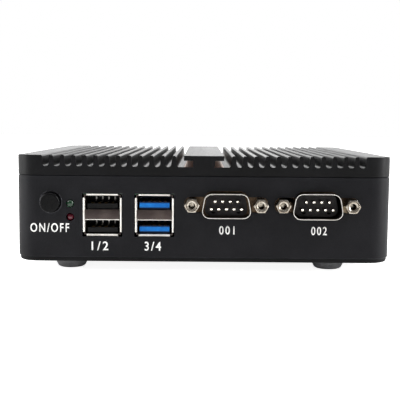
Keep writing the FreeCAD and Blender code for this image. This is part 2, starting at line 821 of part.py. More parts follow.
def twin_port(label, x, thickness, short_pads):
    place = (x, front, port_level)
    half_w, half_h = size.port_width / 2, size.port_height / 2
    mouth = size.port_lip_length - size.port_stand
    tube_length = size.port_depth - mouth
    decks = [(deck_centre * side, side) for side in (-1, 1)]
    fold = size.port_height - size.port_sheet * 2 - size.port_deck * 2

    shell = piece(f"{label}_shell", *place)
    tube = sketch(shell, f"{label}Tube", "XZ_Plane", mouth)
    loop(tube, centred(size.port_width, size.port_height))
    for level, side in decks:
        window(tube, Value(0, "0"), level, port_inside, size.port_deck, size.port_sheet)
    pad(shell, tube, tube_length)
    hollow = sketch(shell, f"{label}Fold", "XZ_Plane", mouth + size.port_sheet)
    loop(hollow, centred(port_inside, fold - size.port_sheet * 2))
    pocket(shell, hollow, tube_length)
    upright = size.port_height - size.port_lip_notch * 2
    level_run = size.port_width - size.port_lip_notch * 2
    for side in (-1, 1):
        ledge = sketch(shell, f"{label}Ledge{side + 1}", "YZ_Plane", -level_run / 2)
        inner, outer = (half_h - size.port_sheet) * side, half_h * side
        spread = size.port_lip * side
        loop(ledge, [(mouth, inner), (mouth, outer), (-size.port_stand, outer + spread),
                     (-size.port_stand, inner + spread)])
        pad(shell, ledge, level_run)
        cheek = sketch(shell, f"{label}Cheek{side + 1}", "XY_Plane", -upright / 2)
        inner, outer = (half_w - size.port_sheet) * side, half_w * side
        loop(cheek, [(inner, mouth), (outer, mouth), (outer + spread, -size.port_stand),
                     (inner + spread, -size.port_stand)])
        pad(shell, cheek, upright)

    core = piece(f"{label}_core", *place)
    plugs = sketch(core, f"{label}Plugs", "XZ_Plane", size.port_cavity)
    tongues = sketch(core, f"{label}Tongues", "XZ_Plane", size.tongue_setback)
    for level, side in decks:
        floor = level - size.port_deck / 2
        seat = floor + size.tongue_lift
        window(plugs, Value(0, "0"), level, port_inside, size.port_deck, size.port_sheet)
        loop(tongues, rectangle(-size.tongue_width / 2, seat, size.tongue_width / 2, seat + thickness))
    cap = sketch(core, f"{label}Cap", "XZ_Plane", size.port_depth)
    loop(cap, centred(size.port_width, size.port_height))
    pad(core, cap, size.port_sheet)
    pad(core, plugs, size.port_depth - size.port_cavity)
    pad(core, tongues, size.port_cavity - size.tongue_setback)

    contacts = piece(f"{label}_contacts", *place)
    top = -deck_centre - size.port_deck / 2 + size.tongue_lift + thickness
    start = size.tongue_setback + size.strip_width
    if short_pads:
        start = start + size.strip_retreat
    strip = contact(contacts, f"{label}Strip", size.strip_pitch * (1 - STRIPS) / 2, top, start,
                    size.strip_width, size.port_cavity - start)
    row(contacts, [strip], "X_Axis", size.strip_pitch, STRIPS, ("Z_Axis", deck_centre * 2, 2))
    if short_pads:
        start = size.tongue_setback + size.strip_thickness
        stub = contact(contacts, f"{label}Stub", size.stub_pitch * (1 - STUBS) / 2, top, start,
                       size.stub_width, size.stub_length)
        row(contacts, [stub], "X_Axis", size.stub_pitch, STUBS, ("Z_Axis", deck_centre * 2, 2))


def contact(body, name, x, z, start, width, length):
    strip = sketch(body, name, "XZ_Plane", start)
    loop(strip, rectangle(x - width / 2, z, x + width / 2, z + size.strip_thickness))
    return pad(body, strip, length)


# ---- D-shaped connectors ---------------------------------------------------------------------

def dee_shell(label, place, width, height):
    shell = piece(f"{label}_shell", *place)
    flange = sketch(shell, f"{label}Flange", "XZ_Plane", size.wall)
    rim = sketch(shell, f"{label}Rim", "XZ_Plane", -size.dee_stand)
    loop(flange, centred(size.dee_flange_width, size.dee_flange_height, size.dee_radius / 2))
    for side in (-1, 1):
        circle(flange, size.jack_spacing * side / 2, 0, stud_hole)
    loop(rim, dee(width, height))
    for drawing in (flange, rim):
        loop(drawing, dee(width, height, -size.dee_sheet))
    pad(shell, flange, size.dee_flange_sheet)
    pad(shell, rim, size.dee_stand + size.wall)


def dee_core(label, place, width, height, face):
    core = piece(f"{label}_core", *place)
    plug = sketch(core, f"{label}Plug", "XZ_Plane", face)
    loop(plug, dee(width, height, -size.dee_sheet - size.thread_gap))
    pad(core, plug, dee_face - face)
    block = sketch(core, f"{label}Block", "XZ_Plane", dee_face)
    loop(block, centred(size.dee_flange_width, size.dee_body_height))
    for side in (-1, 1):
        circle(block, size.jack_spacing * side / 2, 0, stud_hole)
    pad(core, block, size.dee_body_depth)
    return core


# Two hexagonal jackscrews, each with a stud behind it and a threaded hole in its end.
def jackscrews(label, x, y, turn):
    way = 1 if turn == 0 else -1
    screws = piece(f"{label}_jackscrews", x - size.jack_spacing * way / 2, y, serial_height, turn)
    across = size.jack_width * HEX_CORNER * 2
    bevel = across / 2 - size.jack_width / 2 + size.thread_gap * 2
    outline = sketch(screws, f"{label}Hex", "XZ_Plane", -size.jack_stand)
    loop(outline, hexagon(size.jack_width))
    body = pad(screws, outline, size.jack_stand + size.wall)
    stud = sketch(screws, f"{label}Stud", "XZ_Plane", size.wall)
    circle(stud, 0, 0, size.jack_stud)
    shank = pad(screws, stud, size.jack_stud_length)
    crown = sketch(screws, f"{label}Crown", "XY_Plane")
    loop(crown, [(across / 2 - bevel, -size.jack_stand), (across / 2 + CLEAR, -size.jack_stand),
                 (across / 2 + CLEAR, bevel + CLEAR - size.jack_stand)])
    chamfer = turned(screws, "Groove", crown)
    thread = sketch(screws, f"{label}Thread", "XZ_Plane", -size.jack_stand)
    circle(thread, 0, 0, size.jack_thread)
    bore = pocket(screws, thread, size.jack_stand + CLEAR)
    row(screws, [body, shank, chamfer, bore], "X_Axis", size.jack_spacing, 2)


def serial_port(label, x_middle):
    place = (x_middle, front, serial_height)
    rows = [(-1, 5, 2), (1, 4, 1)]
    hole = size.pin_diameter + size.thread_gap * 2
    rise = size.board_level - size.serial_level
    dee_shell(label, place, size.dee_width, size.dee_height)
    core = dee_core(label, place, size.dee_width, size.dee_height, size.wall - size.dee_seat)
    pins = piece(f"{label}_pins", *place)
    half = size.tail_width / 2
    for side, count, step in rows:
        x = size.pin_pitch * (1 - count) / 2
        z = size.pin_row_gap * side / 2
        tip = size.wall - size.dee_seat - size.pin_stand
        bore = sketch(core, f"{label}Bore{count}", "XZ_Plane", size.wall - size.dee_seat)
        circle(bore, x, z, hole)
        cut = pocket(core, bore, dee_end)
        row(core, [cut], "X_Axis", size.pin_pitch, count)
        point = sketch(pins, f"{label}Point{count}", "XZ_Plane", tip)
        circle(point, x, z, size.pin_diameter - size.pin_tip * 2)
        nose = extruded(pins, "Pad", point, size.pin_tip, TAPER)
        shaft = sketch(pins, f"{label}Shaft{count}", "XZ_Plane", tip + size.pin_tip)
        circle(shaft, x, z, size.pin_diameter)
        length = dee_end - tip - size.pin_tip
        stem = pad(pins, shaft, length)
        leg = dee_end + size.tail_setback + size.pin_row_gap * (step - 1)
        bend = sketch(pins, f"{label}Tail{count}", "YZ_Plane", x - half)
        loop(bend, [(dee_end, z - half), (leg + half, z - half), (leg + half, rise),
                    (leg - half, rise), (leg - half, z + half), (dee_end, z + half)])
        tail = pad(pins, bend, size.tail_width)
        row(pins, [nose, stem, tail], "X_Axis", size.pin_pitch, count)
    jackscrews(label, x_middle, front, 0)


def analogue_video():
    label = "analogue_video"
    place = (analogue_x, back, serial_height, 180)
    dee_shell(label, place, size.video_width, size.video_height)
    face = size.dee_sheet - size.dee_stand
    core = dee_core(label, place, size.video_width, size.video_height, face)
    for level, shift in ((-1, -STAGGER), (0, STAGGER), (1, -STAGGER)):
        bore = sketch(core, f"videoBore{level + 1}", "XZ_Plane", face)
        start = size.video_pitch * ((1 - HOLES) / 2 + shift)
        circle(bore, start, size.video_row_gap * level, size.video_hole)
        cut = pocket(core, bore, size.dee_stand)
        row(core, [cut], "X_Axis", size.video_pitch, HOLES)
    jackscrews(label, analogue_x, back, 180)


# ---- Other rear sockets ----------------------------------------------------------------------

def digital_video():
    place = (digital_x, back, digital_level, 180)
    inner_w = size.digital_width - size.digital_sheet * 2
    inner_h = size.digital_height - size.digital_sheet * 2
    slant = size.digital_height / 4

    def outline(width, height):
        half, tall = width / 2, height / 2
        return [(-half, -tall), (half, -tall), (half, tall - slant), (half - slant, tall),
                (slant - half, tall), (-half, tall - slant)]

    shell = piece("digital_video_shell", *place)
    tube = sketch(shell, "digitalTube", "XZ_Plane", -size.socket_stand)
    loop(tube, outline(size.digital_width, size.digital_height))
    loop(tube, outline(inner_w, inner_h))
    pad(shell, tube, size.digital_depth)
    core = piece("digital_video_core", *place)
    plug = sketch(core, "digitalPlug", "XZ_Plane", size.digital_cavity)
    loop(plug, outline(inner_w, inner_h))
    pad(core, plug, size.digital_depth - size.digital_cavity - size.socket_stand)
    tongue = sketch(core, "digitalTongue", "XZ_Plane", size.tongue_setback)
    loop(tongue, centred(size.digital_tongue_width, size.digital_tongue))
    pad(core, tongue, size.digital_cavity - size.tongue_setback)


def network_jack(label, x):
    place = (x, back, network_level, 180)
    inner_w = size.network_width - size.network_sheet * 2
    inner_h = size.network_height - size.network_sheet * 2
    shell = piece(f"{label}_shell", *place)
    tube = sketch(shell, f"{label}Tube", "XZ_Plane", -size.socket_stand)
    loop(tube, centred(size.network_width, size.network_height))
    loop(tube, centred(inner_w, inner_h))
    pad(shell, tube, size.network_depth)
    core = piece(f"{label}_core", *place)
    block = sketch(core, f"{label}Block", "XZ_Plane", -size.socket_stand / 2)
    loop(block, centred(inner_w, inner_h))
    pad(core, block, size.network_depth - size.socket_stand)
    half = size.network_mouth / 2
    floor = size.network_mouth_level - size.network_mouth_height / 2
    latch = floor - size.latch_depth
    slit = latch - size.latch_depth
    mouth = sketch(core, f"{label}Mouth", "XZ_Plane", -size.socket_stand / 2)
    loop(mouth, [(-half, floor), (-size.latch_width / 2, floor), (-size.latch_width / 2, latch),
                 (-size.latch_slit / 2, latch), (-size.latch_slit / 2, slit),
                 (size.latch_slit / 2, slit), (size.latch_slit / 2, latch),
                 (size.latch_width / 2, latch), (size.latch_width / 2, floor), (half, floor),
                 (half, floor + size.network_mouth_height), (-half, floor + size.network_mouth_height)])
    pocket(core, mouth, size.network_cavity)
    recess = sketch(core, f"{label}Lamps", "XZ_Plane", -size.socket_stand / 2)
    for side in (-1, 1):
        window(recess, lamp_offset * side, lamp_rise, size.network_lamp_width, size.network_lamp_height)
    pocket(core, recess, size.wall)


lamp_offset = (size.network_mouth - size.network_lamp_width) / 2
lamp_rise = size.network_height / 2 - size.network_sheet - size.network_lamp_height / 2 - size.socket_gap


# The lamp lenses and the springy contact wires of both network jacks.
def network_details():
    apart = network_a_x - network_b_x
    lenses = piece("network_lamps", network_a_x, back, network_level, 180)
    lens = sketch(lenses, "networkLens", "XZ_Plane", -size.socket_stand / 2)
    window(lens, -lamp_offset, lamp_rise, size.network_lamp_width, size.network_lamp_height)
    block = pad(lenses, lens, size.wall)
    row(lenses, [block], "X_Axis", apart, 2, ("X_Axis", lamp_offset * 2, 2))

    wires = piece("network_contacts", network_a_x, back, network_level, 180)
    roof = size.network_mouth_level + size.network_mouth_height / 2
    start, end = size.wall, size.network_cavity - size.wall
    drop = roof - size.wire_drop
    wire = sketch(wires, "networkWire", "YZ_Plane", (size.wire_pitch * (1 - WIRES) - size.wire_width) / 2)
    loop(wire, [(start, roof - size.wire_width), (end, drop - size.wire_width), (end, drop), (start, roof)])
    strand = pad(wires, wire, size.wire_width)
    row(wires, [strand], "X_Axis", apart, 2, ("X_Axis", size.wire_pitch, WIRES))


# A round socket: a block under the board and a nose through the wall, bored from the front.
def round_socket(label, x, level, nose, width, height, depth, bore, bore_depth):
    socket = piece(label, x, back, level, 180)
    block = sketch(socket, f"{label}Block", "XZ_Plane", size.wall)
    loop(block, centred(width, height))
    pad(socket, block, depth - size.wall)
    barrel = sketch(socket, f"{label}Nose", "XZ_Plane", -size.socket_stand)
    circle(barrel, 0, 0, nose)
    pad(socket, barrel, size.socket_stand + size.wall)
    hole = sketch(socket, f"{label}Bore", "XZ_Plane", -size.socket_stand)
    circle(hole, 0, 0, bore)
    pocket(socket, hole, bore_depth)


def round_sockets():
    for label, x in (("headphone_socket", headphone_x), ("microphone_socket", microphone_x)):
        round_socket(label, x, audio_level, size.audio_nose, size.audio_width, size.audio_width,
                     size.audio_depth, size.audio_bore, size.audio_depth - size.wall / 2)
    round_socket("power_inlet", inlet_x, inlet_level, size.inlet_nose, size.inlet_width,
                 size.inlet_height, size.inlet_depth, size.inlet_bore, size.inlet_bore_depth)
    pin = piece("power_inlet_pin", inlet_x, back, inlet_level, 180)
    shaft = sketch(pin, "inletPin", "XZ_Plane", size.socket_stand)
    circle(shaft, 0, 0, size.inlet_pin)
    pad(pin, shaft, size.inlet_bore_depth - size.socket_stand * 2)


# ---- Board and what it carries ---------------------------------------------------------------

def motherboard():
    board = piece("motherboard")
    half_y = back - size.wall - size.board_edge_gap
    outline = sketch(board, "boardOutline", "XY_Plane", board_bottom)
    loop(outline, rectangle(-board_half, -half_y, board_half, half_y))
    for side, end in corners_of_four:
        circle(outline, board_hole_x * side, board_hole_y * end, screw_hole)
    pad(board, outline, size.board_thickness)
    reach = size.dee_flange_width / 2 + size.board_notch_gap
    inner = back - dee_end - size.board_notch_gap
    notches = sketch(board, "boardNotches", "XY_Plane", board_bottom)
    loop(notches, rectangle(serial_a_x - reach, -back, serial_b_x + reach, -inner))
    loop(notches, rectangle(analogue_x - reach, inner, analogue_x + reach, back))
    relief = size.button_flange / 2 + size.board_notch_gap
    pressed = front + flange_rear + size.button_travel + size.board_notch_gap
    loop(notches, rectangle(button_x - relief, front, button_x + relief, pressed))
    pocket(board, notches, size.board_thickness)


def board_fixings():
    place = (-board_hole_x, -board_hole_y)
    spread = (board_hole_x * 2, 2, ("Y_Axis", board_hole_y * 2, 2))
    bore, shank = screw_thread / 2, size.standoff_shank / 2
    outer = size.standoff_diameter / 2
    top = lid_bottom + size.standoff_seat
    standoffs = piece("board_standoffs", *place)
    profile = sketch(standoffs, "standoffProfile", "XZ_Plane")
    loop(profile, [(bore, board_top), (outer, board_top), (outer, lid_bottom), (shank, lid_bottom),
                   (shank, top), (bore, top)])
    row(standoffs, [turned(standoffs, "Revolution", profile)], "X_Axis", *spread)

    screws = piece("board_screws", *place)
    head, radius = size.board_screw_head / 2, size.screw_size / 2
    base = board_bottom - size.board_screw_head_height
    profile = sketch(screws, "boardScrewProfile", "XZ_Plane")
    bevel = size.board_screw_head_height / 3
    loop(profile, [(0, base), (head - bevel, base), (head, base + bevel), (head, board_bottom),
                   (radius, board_bottom), (radius, lid_bottom), (0, lid_bottom)])
    row(screws, [turned(screws, "Revolution", profile)], "X_Axis", *spread)


def processor_stack():
    die_bottom = board_top + size.package_thickness
    pad_bottom = die_bottom + size.die_thickness
    block_bottom = pad_bottom + size.pad_thickness
    processor = piece("processor")
    slab(processor, "package", size.package_size, size.package_size, board_top, die_bottom)
    slab(processor, "die", size.die_size, size.die_size, die_bottom, pad_bottom)
    slab(piece("thermal_pad"), "padSheet", size.pad_size, size.pad_size, pad_bottom, block_bottom)
    slab(piece("heat_block"), "block", size.heat_block_size, size.heat_block_size, block_bottom, lid_bottom)


def slab(body, name, width, depth, bottom, top):
    outline = sketch(body, name, "XY_Plane", bottom)
    loop(outline, centred(width, depth))
    return pad(body, outline, top - bottom)


# A card in its edge socket under the board; the origin is the middle of the socket's mouth.
def card(label, place, width, length, chip_rows, wide, depth):
    module = piece(f"{label}_module", *place)
    top = board_bottom - size.memory_drop
    bottom = top - size.memory_thickness
    outline = sketch(module, f"{label}Card", "XY_Plane", bottom)
    loop(outline, rectangle(-width / 2, size.memory_bite - length, width / 2, size.memory_bite))
    pad(module, outline, size.memory_thickness)
    pitch = width / chip_rows
    for name, level in (("Upper", top), ("Lower", bottom - size.memory_chip_thickness)):
        chip = sketch(module, f"{label}{name}Chip", "XY_Plane", level)
        x = pitch * (1 - chip_rows) / 2
        y = -length / 2
        window(chip, x, y, size.memory_chip, size.memory_chip_length)
        row(module, [pad(module, chip, size.memory_chip_thickness)], "X_Axis", pitch, chip_rows)

    socket = piece(f"{label}_socket", *place)
    low = board_bottom - size.memory_socket_height
    block = sketch(socket, f"{label}Block", "XY_Plane", low)
    loop(block, rectangle(-wide / 2, Value(0, "0"), wide / 2, depth))
    if chip_rows > 2:
        for side in (-1, 1):
            loop(block, rectangle(wide * side / 2, -length + size.memory_arm * 2,
                                  (wide / 2 - size.memory_arm) * side, Value(0, "0")))
    pad(socket, block, size.memory_socket_height)
    slot = sketch(socket, f"{label}Slot", "XZ_Plane")
    half = width / 2 + size.socket_gap
    loop(slot, rectangle(-half, bottom - size.thread_gap, half, top + size.thread_gap))
    pocket(socket, slot, size.memory_bite + size.thread_gap)


def clock_battery():
    place = (size.cell_inset - half_width, -size.cell_front)
    inner = size.cell_diameter / 2 + size.thread_gap
    outer = inner + size.cell_holder_wall
    floor = board_bottom - size.cell_holder_floor
    rim = floor - size.cell_thickness + size.cell_holder_floor / 2
    holder = piece("battery_holder", *place)
    profile = sketch(holder, "holderProfile", "XZ_Plane")
    loop(profile, [(0, floor), (inner, floor), (inner, rim), (outer, rim), (outer, board_bottom),
                   (0, board_bottom)])
    turned(holder, "Revolution", profile)
    cell = piece("clock_battery", *place)
    disc = sketch(cell, "cellDisc", "XY_Plane", floor - size.cell_thickness)
    circle(disc, 0, 0, size.cell_diameter)
    pad(cell, disc, size.cell_thickness)


def small_components():
    coils = piece("power_inductors", size.inductor_right, size.inductor_pitch * (1 - COILS) / 2)
    coil = sketch(coils, "inductor", "XY_Plane", board_top)
    loop(coil, centred(size.inductor_size, size.inductor_size, size.inductor_size / 5))
    row(coils, [pad(coils, coil, size.inductor_height)], "Y_Axis", size.inductor_pitch, COILS)

    cans = piece("board_capacitors", -size.capacitor_pitch, front + size.capacitor_setback)
    can = sketch(cans, "capacitor", "XY_Plane", board_bottom - size.capacitor_height)
    circle(can, 0, 0, size.capacitor_diameter)
    row(cans, [pad(cans, can, size.capacitor_height)], "X_Axis", size.capacitor_pitch, 3,
        ("Y_Axis", size.capacitor_pitch, 2))

    chips = piece("control_chips", -size.chip_pitch, size.chip_back)
    row(chips, [slab(chips, "chip", size.chip_size, size.chip_size, board_top,
                     board_top + size.chip_thickness)], "X_Axis", size.chip_pitch, 3)


# ---- The whole computer ----------------------------------------------------------------------

heatsink_lid()
housing_frame()
bottom_plate()
case_screws()
bracket_inserts()
foot_y = back - size.foot_setback
for end, end_name in ((-1, "front"), (1, "rear")):
    foot(f"foot_{end_name}_left", size.foot_left_inset - half_width, foot_y * end)
    foot(f"foot_{end_name}_right", half_width - size.foot_right_inset, foot_y * end)
power_button()
lamp("power_lamp", size.lamp_upper_level, -size.lamp_stand)
lamp("activity_lamp", size.lamp_lower_level, size.lamp_sink)
lamp_holder()
twin_port("twin_port_left", port_a_x, size.tongue_a_thickness, short_pads=False)
twin_port("twin_port_right", port_b_x, size.tongue_b_thickness, short_pads=True)
serial_port("serial_left", serial_a_x)
serial_port("serial_right", serial_b_x)
analogue_video()
digital_video()
network_jack("network_inner", network_a_x)
network_jack("network_outer", network_b_x)
network_details()
round_sockets()
motherboard()
board_fixings()
processor_stack()
card("memory", (memory_x, back - size.memory_setback), size.memory_width, size.memory_length, 4,
     memory_wide, size.memory_socket_depth)
card("storage", (storage_x, back - size.storage_setback), size.storage_width, size.storage_length, 2,
     storage_wide, size.storage_socket_depth)
clock_battery()
small_components()
doc.recompute()

faults = [item.Name for item in doc.Objects if {"Invalid", "Error"} & set(item.State)]
for item in doc.Objects:
    if item.TypeId in ("PartDesign::Pocket", "PartDesign::Groove"):
        if item.Shape.Volume > item.BaseFeature.Shape.Volume - 1e-6:
            faults.append(f"{item.Name} cuts nothing")
for body in pieces:
    if body.Shape.isNull() or not body.Shape.isValid():
        faults.append(f"{body.Label} has no valid shape")
if faults:
    raise RuntimeError("The model has faults: " + ", ".join(faults))

os.makedirs("parts", exist_ok=True)
for body in pieces:
    body.Shape.exportStep(f"parts/{body.Label}.step")
print(f"wrote {len(pieces)} parts")
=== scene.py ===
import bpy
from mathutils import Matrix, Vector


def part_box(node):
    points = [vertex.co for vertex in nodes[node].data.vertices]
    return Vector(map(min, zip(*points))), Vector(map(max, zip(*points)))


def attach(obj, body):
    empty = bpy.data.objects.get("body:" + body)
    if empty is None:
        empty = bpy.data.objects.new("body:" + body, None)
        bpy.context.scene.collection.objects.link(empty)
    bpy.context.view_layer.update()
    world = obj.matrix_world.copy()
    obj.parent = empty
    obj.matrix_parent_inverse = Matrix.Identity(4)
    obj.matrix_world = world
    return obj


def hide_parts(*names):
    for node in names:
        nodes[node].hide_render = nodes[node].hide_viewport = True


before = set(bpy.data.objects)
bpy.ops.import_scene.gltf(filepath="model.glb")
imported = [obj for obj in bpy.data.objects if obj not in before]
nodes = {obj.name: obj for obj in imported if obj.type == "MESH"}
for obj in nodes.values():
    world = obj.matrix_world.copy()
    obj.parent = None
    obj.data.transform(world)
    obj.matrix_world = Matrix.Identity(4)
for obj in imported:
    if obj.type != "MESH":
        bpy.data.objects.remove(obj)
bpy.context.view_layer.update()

import math

import bmesh
import bpy
from mathutils import Matrix, Vector

# Fanless industrial computer: black anodised case with a finned lid, plated sockets, white print.
# Metres, X to the right, Y to the back, Z up, the feet on Z = 0.

perMetre = 1000    # millimetres
mergeWithin = 1e-7    # closer points are one point
sameLevel = 1e-6
noiseSpan = (0.3, 0.7)    # nearly all of a noise's values lie between these
grainDepth = 0.2    # as a share of the grain's size
standing = Matrix.Rotation(math.pi / 2, 3, "X")    # from the XY plane into the XZ plane
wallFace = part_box("housing_frame")[0].y
print("frame loaded:", len(nodes), "nodes")


# Colours are written as on a screen and turned into scene values here.
def colour(written):
    channels = [int(written[i:i + 2], 16) / 255 for i in (1, 3, 5)]
    return [c / 12.92 if c < 0.04045 else ((c + 0.055) / 1.055) ** 2.4 for c in channels] + [1]


# A material on the Principled shader, with short ways to add texture nodes.
class Finish:
    def __init__(self, name, **fixed):
        self.material = bpy.data.materials.new(name)
        self.material.use_nodes = True
        self.tree = self.material.node_tree
        self.shader = self.tree.nodes["Principled BSDF"]
        for socket, value in fixed.items():
            self.shader.inputs[socket.replace("_", " ")].default_value = value
        self.place = self.add("ShaderNodeTexCoord").outputs["Object"]

    def add(self, kind, inputs=(), **settings):
        node = self.tree.nodes.new(kind)
        for name, value in settings.items():
            setattr(node, name, value)
        for key, value in dict(inputs).items():
            if isinstance(value, bpy.types.NodeSocket):
                self.tree.links.new(value, node.inputs[key])
            else:
                node.inputs[key].default_value = value
        return node

    # Noise whose features are about size metres, drawn out along an axis by stretch.
    def noise(self, size, detail=3, stretch=(1, 1, 1), shift=(0, 0, 0)):
        moved = self.add("ShaderNodeMapping", {"Vector": self.place, "Location": shift,
                                               "Scale": [1 / s for s in stretch]})
        return self.add("ShaderNodeTexNoise", {"Vector": moved.outputs[0], "Scale": 1 / size,
                                               "Detail": detail, "Roughness": 0.6}).outputs["Fac"]

    def ranged(self, value, low, high, toLow=0.0, toHigh=1.0):
        return self.add("ShaderNodeMapRange", {"Value": value, "From Min": low, "From Max": high,
                                               "To Min": toLow, "To Max": toHigh}).outputs[0]

    def mixed(self, factor, first, second):
        return self.add("ShaderNodeMix", {0: factor, 6: first, 7: second}, data_type="RGBA").outputs[2]

    def maths(self, operation, first, second=0.5):
        return self.add("ShaderNodeMath", {0: first, 1: second}, operation=operation).outputs[0]

    # 1 on convex and concave edges, 0 on flats.
    def edges(self, width):
        rounded = self.add("ShaderNodeBevel", {"Radius": width}, samples=4).outputs[0]
        flat = self.add("ShaderNodeNewGeometry").outputs["Normal"]
        facing = self.add("ShaderNodeVectorMath", {0: rounded, 1: flat}, operation="DOT_PRODUCT")
        return self.ranged(facing.outputs["Value"], 0.995, 0.9)

    # 1 where the place lies between two levels of an axis, with a soft step of blur metres.
    def between(self, axis, low, high, blur):
        along = self.add("ShaderNodeSeparateXYZ", {0: self.place}).outputs[axis]
        away = self.maths("ABSOLUTE", self.maths("SUBTRACT", along, (low + high) / 2))
        return self.ranged(away, (high - low) / 2 + blur, (high - low) / 2)

    def into(self, socket, value):
        self.tree.links.new(value, self.shader.inputs[socket])

    # Lays another colour over the base where the factor is 1.
    def over(self, factor, written):
        base = self.shader.inputs["Base Color"].links[0].from_socket
        self.into("Base Color", self.mixed(factor, base, colour(written)))

    def bump(self, height, strength, distance):
        dented = self.add("ShaderNodeBump", {"Height": height, "Strength": strength, "Distance": distance})
        self.into("Normal", dented.outputs[0])


# The finish that most surfaces share: mottled colour, handled gloss, grain, and rubbed edges.
def worn(name, look):
    finish = Finish(name, Metallic=look.get("metallic", 0.0), Specular_IOR_Level=look.get("specular", 0.5),
                    Coat_Weight=look.get("coat", 0.0), Coat_Roughness=0.1)
    stretch = look.get("stretch", (1, 1, 1))
    mottle = finish.noise(look["mottle"], 4)
    grain = finish.noise(look["grain"], 2, stretch)
    blend = finish.ranged(mottle, 0.35, 0.65)
    base = finish.mixed(blend, colour(look["deep"]), colour(look["pale"]))
    speck = finish.ranged(grain, *noiseSpan, 1 - look["speck"], 1 + look["speck"])
    base = finish.add("ShaderNodeVectorMath", {0: base, "Scale": speck}, operation="SCALE").outputs[0]
    rubbed = finish.maths("MULTIPLY", finish.edges(look["edgeWidth"]), finish.ranged(mottle, 0.3, 0.6, 0.35, 1))
    rubbed = finish.maths("MULTIPLY", rubbed, look["wear"])
    finish.into("Base Color", finish.mixed(rubbed, base, colour(look["edge"])))
    smooth, rough = look["roughness"]
    handled = finish.noise(look["mottle"] * 1.7, 5, stretch, (0.3, 0.1, 0.2))
    gloss = finish.maths("ADD", finish.ranged(handled, *noiseSpan, smooth, rough),
                         finish.ranged(grain, *noiseSpan, -0.03, 0.03))
    finish.into("Roughness", gloss)
    finish.bump(grain, look["bump"], look["grain"] * grainDepth)
    return finish


def paint(finish, *names):
    for name in names:
        slots = nodes[name].data.materials
        slots.clear()
        slots.append(finish.material)


# Adds a finished mesh as a piece that rides on a body.
def addPiece(name, shape, finishes, body="case"):
    mesh = bpy.data.meshes.new(name)
    shape.to_mesh(mesh)
    shape.free()
    for finish in finishes:
        mesh.materials.append(finish.material)
    piece = bpy.data.objects.new(name, mesh)
    bpy.context.scene.collection.objects.link(piece)
    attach(piece, body)
    return piece


# Smooth faces, with creases where they meet at a sharp angle.
def eased(piece, crease=math.radians(35)):
    for face in piece.data.polygons:
        face.use_smooth = True
    piece.data.set_sharp_from_angle(angle=crease)
    return piece


# Pulls a loop of edges on to where place(point) says, and gives back the new loop.
def pulled(shape, edges, place):
    made = bmesh.ops.extrude_edge_only(shape, edges=edges)["geom"]
    moved = {item for item in made if isinstance(item, bmesh.types.BMVert)}
    for vert in moved:
        vert.co = place(vert.co)
    return [item for item in made if isinstance(item, bmesh.types.BMEdge) and moved.issuperset(item.verts)]


# The middle of a box as seen from the front, set at a place along Y.
def middleOf(box, along):
    low, high = box
    return Vector(((low.x + high.x) / 2, along, (low.z + high.z) / 2))


# How far each jackscrew stands from the middle of its pair: half the box less half a hexagon.
def screwOffset(low, high):
    return (high.x - low.x) / 2 - (high.z - low.z) / math.sqrt(3)


# Gives open sheet its thickness, with the normals outwards before and after.
def thickened(shape, thickness):
    bmesh.ops.recalc_face_normals(shape, faces=shape.faces)
    bmesh.ops.solidify(shape, geom=shape.faces[:], thickness=thickness)
    bmesh.ops.recalc_face_normals(shape, faces=shape.faces)


# Finishes of the case.
anodisedLook = {"deep": "#121215", "pale": "#18181b", "speck": 0.3, "specular": 0.12, "roughness": (0.4, 0.52),
                "mottle": 0.018, "grain": 0.00022, "bump": 0.35, "edge": "#3c3c40", "edgeWidth": 0.0003,
                "wear": 0.4}
lidLook = dict(anodisedLook, deep="#09090a", pale="#0e0e10", specular=0.14, roughness=(0.34, 0.46),
               edgeWidth=0.0002, stretch=(1, 40, 1), grain=0.0003, edge="#2c2c2f")
plateLook = dict(anodisedLook, deep="#0b0b0c", pale="#111113", roughness=(0.45, 0.6), grain=0.0004, bump=0.5)
# The feet's grey is lifted above the rubber's own, as painted light for the light that reaches them under the
# case.
footPaintedLightLook = {"deep": "#727274", "pale": "#848486", "speck": 0.2, "specular": 0.35, "roughness": (0.6, 0.8),
            "mottle": 0.004, "grain": 0.0002, "bump": 0.5, "edge": "#77767a", "edgeWidth": 0.0004, "wear": 0.4}
screwLook = {"deep": "#161617", "pale": "#232325", "speck": 0.2, "metallic": 0.6, "roughness": (0.35, 0.5),
             "mottle": 0.002, "grain": 0.0001, "bump": 0.3, "edge": "#8d8a86", "edgeWidth": 0.0001, "wear": 0.7}
undercut = {"half": 0.0072, "floor": 0.0042, "roof": 0.0017, "end": 0.0002, "blur": 0.00005,
            "colour": "#b89e90"}
paint(worn("frameAnodised", anodisedLook), "housing_frame")


# The lid, with bare metal left by the cutter in the undercuts beside the rail.
def lidFinish():
    finish = worn("lidAnodised", lidLook)
    low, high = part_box("heatsink_lid")
    top = high.z
    inside = finish.between("Y", low.y + undercut["end"], high.y - undercut["end"], undercut["blur"])
    wide = finish.between("X", -undercut["half"], undercut["half"], undercut["blur"])
    tall = finish.between("Z", top - undercut["floor"], top - undercut["roof"], undercut["blur"])
    bare = finish.maths("MULTIPLY", finish.maths("MULTIPLY", wide, tall), inside)
    finish.over(bare, undercut["colour"])
    finish.into("Metallic", bare)
    return finish


paint(lidFinish(), "heatsink_lid")
paint(worn("platePaint", plateLook), "bottom_plate")
paint(worn("footRubberPaintedLight", footPaintedLightLook), *[n for n in nodes if n.startswith("foot_")])
paint(worn("screwBlack", screwLook), "case_screws")
paint(worn("insertSteel", dict(screwLook, deep="#8f8c86", pale="#b3b0aa", metallic=1.0)), "bracket_inserts")
print("case finished")

